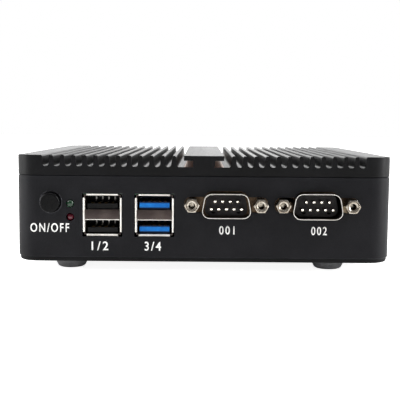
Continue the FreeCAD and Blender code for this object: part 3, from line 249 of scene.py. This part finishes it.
# Button and lamps.
buttonLook = {"deep": "#040405", "pale": "#070708", "speck": 0.1, "specular": 0.12, "roughness": (0.2, 0.3),
              "mottle": 0.003, "grain": 0.00015, "bump": 0.12, "edge": "#26262a", "edgeWidth": 0.0002,
              "wear": 0.5}
paint(worn("buttonPlastic", buttonLook), "power_button_cap", "switch_plunger")
collarLook = dict(anodisedLook, deep="#303032", pale="#3e3e42", metallic=0.8, roughness=(0.14, 0.22),
                  mottle=0.003, edgeWidth=0.0001)
collar = {"inner": 0.0039, "outer": 0.0042, "proud": 0.0002, "sunk": 0.0001, "bends": 5, "steps": 72}


# The thin rounded lip round the button's hole.
def buttonCollar():
    centre = middleOf(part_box("power_button_cap"), wallFace)
    span = collar["outer"] - collar["inner"]
    turns = [math.pi / 2 * step / collar["bends"] for step in range(collar["bends"] + 1)]
    spots = [(collar["inner"], collar["sunk"])]
    spots += [(collar["inner"] + span * math.sin(turn), -collar["proud"] * math.cos(turn)) for turn in turns]
    spots.append((collar["outer"], collar["sunk"]))
    shape = bmesh.new()
    start = [bmesh.ops.create_vert(shape, co=centre + Vector((across, along, 0)))["vert"][0]
             for across, along in spots]
    edges = [shape.edges.new((start[i - 1], start[i])) for i in range(len(start))]
    bmesh.ops.spin(shape, geom=start + edges, cent=centre, axis=(0, 1, 0), angle=math.tau,
                   steps=collar["steps"], use_merge=True, use_duplicate=False)
    bmesh.ops.remove_doubles(shape, verts=shape.verts, dist=mergeWithin)
    bmesh.ops.recalc_face_normals(shape, faces=shape.faces)
    eased(addPiece("buttonCollar", shape, (worn("collarEdge", collarLook),)))


buttonCollar()


# A dyed resin lens, cloudy inside, with painted shade at its rim where the dome turns away from the view.
def lens(name, look):
    finish = Finish(name, Coat_Weight=0.15, Coat_Roughness=0.06, Transmission_Weight=0.15, IOR=1.5)
    cloudy = finish.noise(0.0012, 4)
    facing = finish.add("ShaderNodeLayerWeight", {"Blend": 0.35}).outputs["Facing"]
    body = finish.mixed(finish.ranged(cloudy, *noiseSpan), colour(look["deep"]), colour(look["pale"]))
    # Painted shade: the darker rim colour takes over where the lens turns away from the view.
    finish.into("Base Color", finish.mixed(facing, body, colour(look["rim"])))
    finish.into("Roughness", finish.ranged(finish.noise(0.0004), *noiseSpan, 0.12, 0.24))
    finish.bump(finish.noise(0.0003), 0.1, 0.00004)
    return finish


paint(lens("greenLens", {"deep": "#0c2818", "pale": "#183c24", "rim": "#06120b"}), "power_lamp")
paint(lens("redLens", {"deep": "#480d1a", "pale": "#621626", "rim": "#22060c"}), "activity_lamp")
paint(lens("amberLens", {"deep": "#8a6a2c", "pale": "#b48d45", "rim": "#4a3512"}), "network_lamps")

# Finishes of the sockets.
tinLook = {"deep": "#b9b4ab", "pale": "#d8d5ce", "speck": 0.08, "metallic": 1.0, "roughness": (0.2, 0.34),
           "mottle": 0.005, "grain": 0.0002, "stretch": (1, 1, 6), "bump": 0.12, "edge": "#f1efeb",
           "edgeWidth": 0.00015, "wear": 0.8}
# Painted highlight: a near-white copy of the tin, bright under any light, for the lips and rims of the sockets.
paintedHighlightLook = dict(tinLook, deep="#dcd8d0", pale="#f3f0ea", metallic=0.55, roughness=(0.3, 0.42), mottle=0.003)
# Painted shade: a dark brownish copy of the tin for the tubes and folds of the port shells.
foldShadeTinLook = dict(tinLook, deep="#3d3432", pale="#4f4542", metallic=0.7, roughness=(0.35, 0.5), edge="#9a8f8a",
                wear=0.6)
# The D shells' nickel, darkened to brown as painted shade on their flat faces.
shadedNickelLook = dict(tinLook, deep="#31261c", pale="#57483a", roughness=(0.25, 0.4), mottle=0.003,
                  edge="#a3957f")
jackLook = dict(tinLook, deep="#8a7f70", pale="#c9c2b6", roughness=(0.16, 0.28), mottle=0.0012,
                edgeWidth=0.0002, wear=1.0, edge="#f4efe6")
# The contacts' gold, darkened as painted shade of the deep cavities they sit in.
shadedGoldLook = dict(tinLook, deep="#332817", pale="#4c3c24", roughness=(0.3, 0.45), mottle=0.001, grain=0.0001,
                edge="#7a6540", wear=0.3)
pinLook = dict(tinLook, deep="#cfc9bd", pale="#eeeae2", roughness=(0.12, 0.2), mottle=0.001, grain=0.0001)
moulded = {"deep": "#0d0d0e", "pale": "#151516", "speck": 0.15, "specular": 0.15, "roughness": (0.4, 0.55),
           "mottle": 0.004, "grain": 0.00018, "bump": 0.3, "edge": "#2a2a2b", "edgeWidth": 0.00012, "wear": 0.4}
greyLook = dict(moulded, deep="#292627", pale="#343132", speck=0.3)
# Near black, as painted shade for the insulators' moulded recesses.
recessShadeLook = dict(moulded, deep="#030303", pale="#060606", specular=0.02)
jackShadeLook = dict(jackLook, deep="#3b332b", pale="#6d6256", metallic=0.9)
jackBoreLook = dict(jackLook, deep="#22160d", pale="#3a281a", edge="#4e3928", roughness=(0.4, 0.5))
blueLook = dict(moulded, deep="#0a64b8", pale="#1a80d4", edge="#6fbaf5", roughness=(0.3, 0.42), bump=0.2)
paintedHighlight = worn("lipTinPaintedHighlight", paintedHighlightLook)
foldShadeTin = worn("foldTinPaintedShade", foldShadeTinLook)
shadedGold = worn("contactGoldPaintedShade", shadedGoldLook)
pins = worn("pinTin", pinLook)
plated = worn("socketTin", tinLook)
shadedNickel = worn("deeNickelPaintedShade", shadedNickelLook)
jackNickel = worn("jackNickel", jackLook)
jackShade = worn("jackShade", jackShadeLook)
jackBore = worn("jackBore", jackBoreLook)
black = worn("socketBlack", moulded)
recessShade = worn("recessPaintedShade", recessShadeLook)
# dark: the painted shade colour laid over the moulding away from the tongues' fronts.
tongue = {"inset": 0.0013, "reach": 0.004, "blur": 0.0002, "half": 0.0006, "below": 0.00125, "strip": 0.00025,
          "dark": "#071a36"}


# The tongues of the faster ports are blue at their fronts; the rest of the moulding, round and behind them, is
# laid over with near-black painted shade of the cavities.
def tonguesFinish():
    finish = worn("portBlue", blueLook)
    low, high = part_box("twin_port_right_core")
    wide = finish.between("X", low.x + tongue["inset"], high.x - tongue["inset"], tongue["blur"])
    near = finish.between("Y", low.y - tongue["blur"], low.y + tongue["reach"], tongue["blur"] * 4)
    under, top = (corner.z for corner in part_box("twin_port_right_contacts"))
    decks = [finish.between("Z", level - tongue["half"], level + tongue["half"], tongue["blur"] * 2)
             for level in (under - tongue["below"], top - tongue["strip"] - tongue["below"])]
    lit = finish.maths("MULTIPLY", finish.maths("MAXIMUM", *decks), finish.maths("MULTIPLY", wide, near))
    # Painted shade: everything but the tongues' fronts takes the near-black blue.
    away = finish.maths("SUBTRACT", 1.0, lit)
    finish.over(away, tongue["dark"])
    return finish


paint(black, "twin_port_left_core", "digital_video_core", "network_inner_core", "network_outer_core",
      "headphone_socket", "microphone_socket", "power_inlet")
paint(tonguesFinish(), "twin_port_right_core")
paint(shadedGold, "twin_port_left_contacts", "twin_port_right_contacts", "network_contacts")
paint(plated, "twin_port_left_shell", "twin_port_right_shell", "digital_video_shell",
      "network_inner_shell", "network_outer_shell")
paint(shadedNickel, "serial_left_shell", "serial_right_shell", "analogue_video_shell")
paint(jackNickel, "serial_left_jackscrews", "serial_right_jackscrews", "analogue_video_jackscrews")
paint(pins, "serial_left_pins", "serial_right_pins", "power_inlet_pin")
paint(worn("deeInsulator", greyLook), "serial_left_core", "serial_right_core")
paint(worn("videoBlue", dict(blueLook, deep="#1d3f8a", pale="#28529f", edge="#5f86d0")),
      "analogue_video_core")
print("sockets finished")

# Shells of the twin-deck ports.
port = {"width": 0.0133, "height": 0.0146, "sheet": 0.0003, "depth": 0.0162, "mouth": 0.001,
        "fold": 0.00385, "foldDepth": 0.0108, "foldRound": 0.0003, "foldSteps": 3,
        "level": 0.0114, "upright": 0.0125, "curl": (15, 42, 68), "step": 0.00036,
        "lipShare": 0.8}


# A flat rectangle in the XZ plane, from a grid of one square.
def plateFace(shape, width, height, centre):
    made = bmesh.ops.create_grid(shape, x_segments=1, y_segments=1, size=0.5)["verts"]
    bmesh.ops.scale(shape, vec=(width, height, 1), verts=made)
    bmesh.ops.rotate(shape, cent=(0, 0, 0), matrix=standing, verts=made)
    bmesh.ops.translate(shape, vec=centre, verts=made)
    return made


# Merges another shape into this one.
def joined(shape, other):
    mesh = bpy.data.meshes.new("part")
    other.to_mesh(mesh)
    other.free()
    shape.from_mesh(mesh)
    bpy.data.meshes.remove(mesh)


# A strip of sheet that runs along one side of the mouth and curls outwards.
def curledLip(shape, centre, side, upright):
    strip = bmesh.new()
    length = port["upright"] if upright else port["level"]
    offset = (port["width"] if upright else port["height"]) / 2 - port["sheet"]
    across = Vector((side, 0, 0)) if upright else Vector((0, 0, side))
    along = Vector((0, 0, 1)) if upright else Vector((1, 0, 0))
    ends = [bmesh.ops.create_vert(strip, co=centre + across * offset + along * length * half
                                  + Vector((0, port["mouth"], 0)))["vert"][0] for half in (-0.5, 0.5)]
    rim = [strip.edges.new(ends)]
    for turn in port["curl"]:
        lean = math.radians(turn)
        shift = (across * math.sin(lean) + Vector((0, -math.cos(lean), 0))) * port["step"]
        rim = pulled(strip, rim, lambda point: point + shift)
    thickened(strip, port["sheet"] * port["lipShare"])
    # The curled lips carry the painted highlight.
    for face in strip.faces:
        face.material_index = 1
    joined(shape, strip)


def portShell(name, node):
    centre = middleOf(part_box(node), wallFace)
    shape = bmesh.new()
    # the tube
    tube = bmesh.new()
    plateFace(tube, port["width"], port["height"], centre + Vector((0, port["mouth"], 0)))
    rim = tube.edges[:]
    bmesh.ops.delete(tube, geom=tube.faces[:], context="FACES_ONLY")
    pulled(tube, rim, lambda point: point + Vector((0, port["depth"] - port["mouth"], 0)))
    thickened(tube, port["sheet"])
    joined(shape, tube)
    # the folded sheet between the decks
    fold = bmesh.new()
    bmesh.ops.create_cube(fold, size=1)
    bmesh.ops.scale(fold, vec=(port["width"] - port["sheet"] * 2, port["foldDepth"], port["fold"]),
                    verts=fold.verts)
    bmesh.ops.translate(fold, verts=fold.verts,
                        vec=centre + Vector((0, port["mouth"] / 2 + port["foldDepth"] / 2, 0)))
    front = [edge for edge in fold.edges if abs(edge.verts[0].co.z - edge.verts[1].co.z) < sameLevel
             and max(vert.co.y for vert in edge.verts) < centre.y + port["mouth"]]
    rounded = bmesh.ops.bevel(fold, geom=front, offset=port["foldRound"], segments=port["foldSteps"],
                              profile=0.5, affect="EDGES", material=-1)["faces"]
    # The lower rounded edge of the fold carries painted highlight, the upper one painted shade.
    for face in rounded:
        face.material_index = 1 if face.calc_center_median().z < centre.z else 0
    joined(shape, fold)
    for side in (-1, 1):
        for upright in (False, True):
            curledLip(shape, centre, side, upright)
    # The tube and fold carry painted shade, the lips painted highlight.
    piece = eased(addPiece(name, shape, (foldShadeTin, paintedHighlight)))
    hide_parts(node)


bends = {"count": 4, "pitch": 0.00235, "size": (0.0005, 0.0004, 0.0012), "lift": 0.0009}


# The bends of the contacts, at the back of the left port's two cavities.
def contactBends(name, node):
    low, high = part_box(node)
    shape = bmesh.new()
    for level in (low.z + bends["lift"], high.z + bends["lift"]):
        for turn in range(bends["count"]):
            made = bmesh.ops.create_cube(shape, size=1)["verts"]
            middle = (low.x + high.x) / 2 + bends["pitch"] * (turn - (bends["count"] - 1) / 2)
            bmesh.ops.scale(shape, vec=bends["size"], verts=made)
            bmesh.ops.translate(shape, vec=(middle, high.y - bends["size"][1], level), verts=made)
    # The bends carry the painted-highlight tin, standing for glints on the contacts.
    eased(addPiece(name, shape, (paintedHighlight,)))


contactBends("portLeftBends", "twin_port_left_contacts")
portShell("portLeftSheet", "twin_port_left_shell")
portShell("portRightSheet", "twin_port_right_shell")
print("port shells added")

# D-shaped shells and their jackscrews.
dee = {"width": 0.01745, "height": 0.0089, "slope": 0.17, "round": 0.0026, "steps": 7, "sheet": 0.0002,
       "drop": 0.0002, "flange": (0.0305, 0.0122), "bands": (0.5, 0.95, 1.0), "paintedHighlight": 0.96, "lip": 0.0001}
jack = {"flat": 0.00235, "crown": 0.5774, "bore": 0.0012, "sink": 0.00175, "sinkDepth": 0.00035,
        "depth": 0.0042, "stud": 0.0014, "studLength": 0.005, "steps": 36, "wall": 0.0017, "land": 0.0002}
moon = {"x": 0.0046, "z": -0.0026, "radius": 0.00075, "proud": 0.00003, "steps": 20}


def deeShell(name, node):
    low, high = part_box(node)
    wall = wallFace + jack["wall"]
    centre = Vector(((low.x + high.x) / 2, wall, (low.z + high.z) / 2 - dee["drop"]))
    shape = bmesh.new()
    corners = plateFace(shape, dee["width"], dee["height"], centre)
    for vert in corners:
        if vert.co.z > centre.z:
            vert.co.x -= math.copysign(dee["slope"] * dee["height"], vert.co.x - centre.x)
    lean = math.atan(dee["slope"])
    for above in (True, False):
        turned = [vert for vert in corners if vert.is_valid and (vert.co.z > centre.z) == above]
        offset = dee["round"] * math.tan(math.pi / 4 - lean / 2 * (1 if above else -1))
        bmesh.ops.bevel(shape, geom=turned, offset=offset, segments=dee["steps"], profile=0.5,
                        affect="VERTICES", material=-1)
    widest = max(vert.co.x for vert in shape.verts) - centre.x
    bmesh.ops.scale(shape, vec=(dee["width"] / 2 / widest, 1, 1), verts=shape.verts,
                    space=Matrix.Translation(-centre))
    rim = shape.edges[:]
    bmesh.ops.delete(shape, geom=shape.faces[:], context="FACES_ONLY")
    reach = low.y + dee["lip"] - wall
    ring = rim
    for band in dee["bands"]:
        ring = pulled(shape, ring, lambda point: Vector((point.x, wall + reach * band, point.z)))
    holder = plateFace(shape, *dee["flange"], Vector((centre.x, wall, centre.z + dee["drop"])))
    outer = list({edge for vert in holder for edge in vert.link_edges})
    bmesh.ops.delete(shape, geom=list({face for vert in holder for face in vert.link_faces}),
                     context="FACES_ONLY")
    bmesh.ops.bridge_loops(shape, edges=rim + outer)
    thickened(shape, dee["sheet"])
    # The front of the rim carries painted highlight; the rest of the shell and its flange keep the nickel's
    # painted shade.
    for face in shape.faces:
        face.material_index = 1 if face.calc_center_median().y < wall + reach * dee["paintedHighlight"] else 0
    piece = eased(addPiece(name, shape, (shadedNickel, paintedHighlight)))
    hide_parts(node)


def jackScrews(name, node):
    low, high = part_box(node)
    wall = wallFace + jack["wall"]
    half = screwOffset(low, high)
    length = wall - low.y
    shape = bmesh.new()
    for side in (-1, 1):
        centre = Vector(((low.x + high.x) / 2 + half * side, low.y, (low.z + high.z) / 2))

        # Places a point on a circle, or on a hexagon with turned-down corners.
        def ringAt(radius, depth, hexed=False, crowned=False):
            def place(point):
                out = Vector((point.x - centre.x, 0, point.z - centre.z)).normalized()
                turn = math.atan2(out.z, out.x) % (math.pi / 3) - math.pi / 6
                reach = jack["flat"] / math.cos(turn) if hexed else radius
                back = (reach - jack["flat"]) * jack["crown"] if crowned else 0
                return centre + out * reach + Vector((0, depth + back, 0))
            return place

        made = bmesh.ops.create_circle(shape, segments=jack["steps"], radius=jack["bore"],
                                       matrix=Matrix.Translation(centre + Vector((0, jack["depth"], 0)))
                                       @ Matrix.Rotation(math.pi / 2, 4, "X"))["verts"]
        ring = list({edge for vert in made for edge in vert.link_edges})
        bmesh.ops.holes_fill(shape, edges=ring)
        known = set(shape.faces[:])
        for place, coat in ((ringAt(jack["bore"], jack["sinkDepth"]), 2), (ringAt(jack["sink"], 0), 0),
                            (ringAt(jack["flat"] - jack["land"], 0), 1),
                            (ringAt(0, jack["land"] / 2, True, True), 0), (ringAt(0, length, True), 0),
                            (ringAt(jack["stud"], length), 0),
                            (ringAt(jack["stud"], length + jack["studLength"]), 0)):
            ring = pulled(shape, ring, place)
            for face in set(shape.faces[:]) - known:
                face.material_index = coat
            known = set(shape.faces[:])
        bmesh.ops.holes_fill(shape, edges=ring)
    bmesh.ops.recalc_face_normals(shape, faces=shape.faces)
    piece = eased(addPiece(name, shape, (jackNickel, jackShade, jackBore)), math.radians(25))
    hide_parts(node)


# Two half moons of near-black painted shade, laid just in front of the insulator's face under its lower row,
# for the shade in its two moulded recesses.
def insulatorRecessShade(name, node):
    low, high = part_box(node)
    shape = bmesh.new()
    for side in (-1, 1):
        centre = Vector(((low.x + high.x) / 2 + moon["x"] * side, low.y - moon["proud"],
                         (low.z + high.z) / 2 + moon["z"]))
        made = bmesh.ops.create_circle(shape, segments=moon["steps"], radius=moon["radius"], cap_ends=True,
                                       matrix=Matrix.Translation(centre)
                                       @ Matrix.Rotation(math.pi / 2, 4, "X"))["verts"]
        bmesh.ops.bisect_plane(shape, geom=list({item for vert in made for item in
                                                 [vert, *vert.link_edges, *vert.link_faces]}),
                               plane_co=centre, plane_no=(0, 0, 1), clear_outer=True)
    addPiece(name, shape, (recessShade,))


for side in ("left", "right"):
    title = side.capitalize()
    deeShell(f"serial{title}Sheet", f"serial_{side}_shell")
    jackScrews(f"serial{title}Screws", f"serial_{side}_jackscrews")
    insulatorRecessShade(f"serial{title}RecessShade", f"serial_{side}_core")
print("serial shells and screws added")

# Finishes inside.
boardLook = {"deep": "#0d3b26", "pale": "#14502f", "speck": 0.15, "specular": 0.5, "roughness": (0.25, 0.4),
             "mottle": 0.01, "grain": 0.0004, "stretch": (8, 1, 1), "bump": 0.25, "edge": "#8a8f6a",
             "edgeWidth": 0.0002, "wear": 0.6, "coat": 0.4}


# Solder mask over copper: thin lines in two directions show through it.
def boardFinish(name):
    finish = worn(name, boardLook)
    along = finish.noise(0.0012, 0, (14, 1, 1))
    across = finish.noise(0.0012, 0, (1, 14, 1), (0.5, 0.2, 0))
    lines = finish.maths("MAXIMUM", finish.ranged(along, 0.56, 0.6), finish.ranged(across, 0.58, 0.62))
    finish.over(lines, "#1f6b40")
    return finish


aluminiumLook = dict(tinLook, deep="#9c9c9c", pale="#bababa", roughness=(0.35, 0.5), stretch=(12, 1, 1))
paint(boardFinish("boardMask"), "motherboard", "memory_module", "storage_module")
paint(worn("bareAluminium", aluminiumLook), "heat_block")
paint(worn("brassPlated", dict(aluminiumLook, deep="#a39a86", pale="#c4bda9")), "board_standoffs",
      "board_screws", "clock_battery")
paint(worn("componentBlack", moulded), "processor", "memory_socket", "storage_socket", "battery_holder",
      "control_chips", "button_switch", "lamp_holder")
paint(worn("componentGrey", dict(moulded, deep="#3b3b3e", pale="#4a4a4d")), "power_inductors",
      "board_capacitors")
paint(worn("thermalPad", dict(footPaintedLightLook, deep="#7d8a9c", pale="#93a0b0")), "thermal_pad")
print("inside finished")


# Print on the front wall.
printLook = {"deep": "#dcdcda", "pale": "#f4f4f2", "speck": 0.05, "specular": 0.3, "roughness": (0.45, 0.6),
             "mottle": 0.003, "grain": 0.00012, "bump": 0.2, "edge": "#c9c9c7", "edgeWidth": 0.00003,
             "wear": 0.3}
printing = {"raise": 0.00003, "thick": 0.9, "merge": 0.0001, "curves": 6, "boldness": 0.012,
            "spacing": 1.3, "words": {
    # word: left, right, bottom, top in millimetres on the front wall
    "ON/OFF": ("printSwitch", -63.2, -49.1, 14.8, 18.1),
    "1/2": ("printPortLeft", -40.9, -34.8, 8.2, 11.5),
    "3/4": ("printPortRight", -21.5, -15.5, 8.2, 11.5),
    "001": ("printSerialLeft", 5.7, 11.3, 14.4, 17.5),
    "002": ("printSerialRight", 39.3, 45.0, 14.4, 17.5)}}
inkFinish = worn("whiteInk", printLook)


# A word as a mesh, fitted to a rectangle of the front wall.
def printWord(word, name, left, right, bottom, top):
    curve = bpy.data.curves.new(name, "FONT")
    curve.body = word
    curve.offset = printing["boldness"]
    curve.space_character = printing["spacing"]
    curve.resolution_u = printing["curves"]
    holder = bpy.data.objects.new(name + "Curve", curve)
    bpy.context.scene.collection.objects.link(holder)
    flat = bpy.data.meshes.new_from_object(holder)
    bpy.data.objects.remove(holder)
    shape = bmesh.new()
    shape.from_mesh(flat)
    bmesh.ops.remove_doubles(shape, verts=shape.verts, dist=printing["merge"])
    xs, ys = [v.co.x for v in shape.verts], [v.co.y for v in shape.verts]
    wide = (right - left) / perMetre / (max(xs) - min(xs))
    tall = (top - bottom) / perMetre / (max(ys) - min(ys))
    bmesh.ops.translate(shape, vec=(-min(xs), -min(ys), 0), verts=shape.verts)
    bmesh.ops.scale(shape, vec=(wide, tall, 1), verts=shape.verts)
    bmesh.ops.rotate(shape, cent=(0, 0, 0), matrix=standing, verts=shape.verts)
    bmesh.ops.translate(shape, vec=(left / perMetre, wallFace - printing["raise"], bottom / perMetre),
                        verts=shape.verts)
    made = bmesh.ops.extrude_face_region(shape, geom=shape.faces[:])
    lifted = [v for v in made["geom"] if isinstance(v, bmesh.types.BMVert)]
    bmesh.ops.translate(shape, vec=(0, printing["raise"] * printing["thick"], 0), verts=lifted)
    bmesh.ops.recalc_face_normals(shape, faces=shape.faces)
    addPiece(name, shape, (inkFinish,))


for word, spot in printing["words"].items():
    printWord(word, *spot)
print("print added")


# Threads in the jackscrews.
threadLook = dict(jackBoreLook, deep="#2b1e14", pale="#46331f", edge="#5c4630", wear=0.4)
thread = {"bore": 0.00119, "depth": 0.0002, "pitch": 0.00055, "turns": 6, "steps": 20, "inset": 0.0004,
          "crest": 0.45, "width": 0.9}
threadFinish = worn("threadBrown", threadLook)
jackY = {"serial_left": 1, "serial_right": 1, "analogue_video": -1}    # which way the thread runs in


def threadPiece(name, into):
    low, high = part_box(name + "_jackscrews")
    middle, level = (low.x + high.x) / 2, (low.z + high.z) / 2
    mouth = low.y if into > 0 else high.y
    half = screwOffset(low, high)
    rise = thread["pitch"] * into
    shape = bmesh.new()
    for side in (-1, 1):
        centre = Vector((middle + half * side, mouth + thread["inset"] * into, level))
        start = [bmesh.ops.create_vert(shape, co=centre + Vector(spot))["vert"][0] for spot in (
            (thread["bore"], 0, 0), (thread["bore"] - thread["depth"], rise * thread["crest"], 0),
            (thread["bore"], rise * thread["width"], 0))]
        edges = [shape.edges.new((start[i], start[i + 1])) for i in range(2)]
        bmesh.ops.spin(shape, geom=start + edges, cent=centre, axis=(0, 1, 0),
                       dvec=(0, thread["pitch"] * into / thread["steps"], 0),
                       angle=math.tau * thread["turns"], steps=thread["steps"] * thread["turns"],
                       use_duplicate=False)
    bmesh.ops.remove_doubles(shape, verts=shape.verts, dist=mergeWithin)
    bmesh.ops.recalc_face_normals(shape, faces=shape.faces)
    eased(addPiece(name + "_thread", shape, (threadFinish,)), math.radians(60))


for name, into in jackY.items():
    threadPiece(name, into)
print("threads added")


# Floor, light and camera.
stageLook = {"size": 3.0, "lift": 0.9, "diffuse": 0.62, "front": 0.06, "back": 1.0}


def makeFloor():
    shape = bmesh.new()
    bmesh.ops.create_grid(shape, x_segments=1, y_segments=1, size=stageLook["size"])
    mesh = bpy.data.meshes.new("floor")
    shape.to_mesh(mesh)
    shape.free()
    floor = bpy.data.objects.new("floor", mesh)
    bpy.context.scene.collection.objects.link(floor)
    paper = Finish("floorPaper", Roughness=0.9, Specular_IOR_Level=0.1)
    fibres = paper.noise(0.002, 3)
    paper.into("Base Color", paper.mixed(fibres, colour("#efefee"), colour("#f6f6f5")))
    # a camera sees the paper a little lifted, with the shadow kept
    seen = paper.add("ShaderNodeLightPath").outputs["Is Camera Ray"]
    glow = paper.add("ShaderNodeEmission", {"Strength": stageLook["lift"]})
    plain = paper.shader.outputs[0]
    both = paper.add("ShaderNodeAddShader", {0: plain, 1: glow.outputs[0]})
    chosen = paper.add("ShaderNodeMixShader", {0: seen, 1: plain, 2: both.outputs[0]})
    paper.tree.links.new(chosen.outputs[0], paper.tree.nodes["Material Output"].inputs["Surface"])
    mesh.materials.append(paper.material)


# White to the camera, even to matt surfaces, and dark in front of the object to glossy ones.
def makeWorld():
    world = bpy.data.worlds.new("studio")
    bpy.context.scene.world = world
    world.use_nodes = True
    tree = world.node_tree
    even = tree.nodes["Background"]
    white, room = (tree.nodes.new("ShaderNodeBackground") for turn in range(2))
    for sky in (even, white):
        sky.inputs["Color"].default_value = (1, 1, 1, 1)
    even.inputs["Strength"].default_value = stageLook["diffuse"]
    path = tree.nodes.new("ShaderNodeLightPath")
    pickGloss, pickCamera = (tree.nodes.new("ShaderNodeMixShader") for turn in range(2))
    way = tree.nodes.new("ShaderNodeTexCoord")
    split = tree.nodes.new("ShaderNodeSeparateXYZ")
    fall = tree.nodes.new("ShaderNodeMapRange")
    fall.interpolation_type = "SMOOTHSTEP"
    levels = {"From Min": -0.9, "From Max": 0.6, "To Min": stageLook["front"], "To Max": stageLook["back"]}
    for socket, value in levels.items():
        fall.inputs[socket].default_value = value
    for start, end in ((way.outputs["Generated"], split.inputs[0]), (split.outputs["Y"], fall.inputs["Value"]),
                       (fall.outputs[0], room.inputs["Color"]),
                       (path.outputs["Is Glossy Ray"], pickGloss.inputs[0]),
                       (even.outputs[0], pickGloss.inputs[1]), (room.outputs[0], pickGloss.inputs[2]),
                       (path.outputs["Is Camera Ray"], pickCamera.inputs[0]),
                       (pickGloss.outputs[0], pickCamera.inputs[1]), (white.outputs[0], pickCamera.inputs[2]),
                       (pickCamera.outputs[0], tree.nodes["World Output"].inputs["Surface"])):
        tree.links.new(start, end)


lamps = {
    # name: place, what it points at, width, height, watts
    "lampLeft": ((-0.8, -0.14, 0.4), (0, 0, 0.02), 0.4, 0.8, 9.0),
    "lampRight": ((0.8, -0.16, 0.4), (0, 0, 0.02), 0.4, 0.8, 11.0),
    "lampTop": ((0, 0.0, 1.0), (0, 0, 0.02), 1.0, 1.0, 5.0),
    "lampBack": ((0, 1.1, 0.28), (0, 0, 0.03), 2.2, 0.55, 7.0)}


def makeLamp(name, place, target, width, height, watts):
    lamp = bpy.data.lights.new(name, "AREA")
    lamp.shape = "RECTANGLE"
    lamp.size, lamp.size_y, lamp.energy = width, height, watts
    holder = bpy.data.objects.new(name, lamp)
    holder.location = place
    holder.rotation_mode = "QUATERNION"
    holder.rotation_quaternion = (Vector(target) - Vector(place)).to_track_quat("-Z", "Y")
    holder.visible_camera = False
    bpy.context.scene.collection.objects.link(holder)


# Yaw turns the view to the right, pitch tips it down, roll turns it clockwise, in radians.
view = {"place": (-0.00089, -0.34708, 0.05444), "yaw": 0.0017, "pitch": 0.0965, "roll": 0.0078, "lens": 70.49,
        "sensor": 36, "near": 0.01}


def makeCamera():
    camera = bpy.data.cameras.new("camera")
    camera.lens, camera.sensor_width = view["lens"], view["sensor"]
    camera.clip_start = view["near"]
    holder = bpy.data.objects.new("camera", camera)
    yaw, pitch, roll = view["yaw"], view["pitch"], view["roll"]
    ahead = Vector((-math.cos(pitch) * math.sin(yaw), math.cos(pitch) * math.cos(yaw), -math.sin(pitch)))
    right = Vector((math.cos(yaw), math.sin(yaw), 0))
    up = right.cross(ahead)
    leanRight = math.cos(roll) * right + math.sin(roll) * up
    leanUp = math.cos(roll) * up - math.sin(roll) * right
    turn = Matrix((leanRight, leanUp, -ahead)).transposed()
    holder.matrix_world = Matrix.Translation(view["place"]) @ turn.to_4x4()
    bpy.context.scene.collection.objects.link(holder)
    bpy.context.scene.camera = holder


makeFloor()
makeWorld()
for name, facts in lamps.items():
    makeLamp(name, *facts)
makeCamera()
bpy.context.scene.view_settings.view_transform = "Standard"
print("stage set")
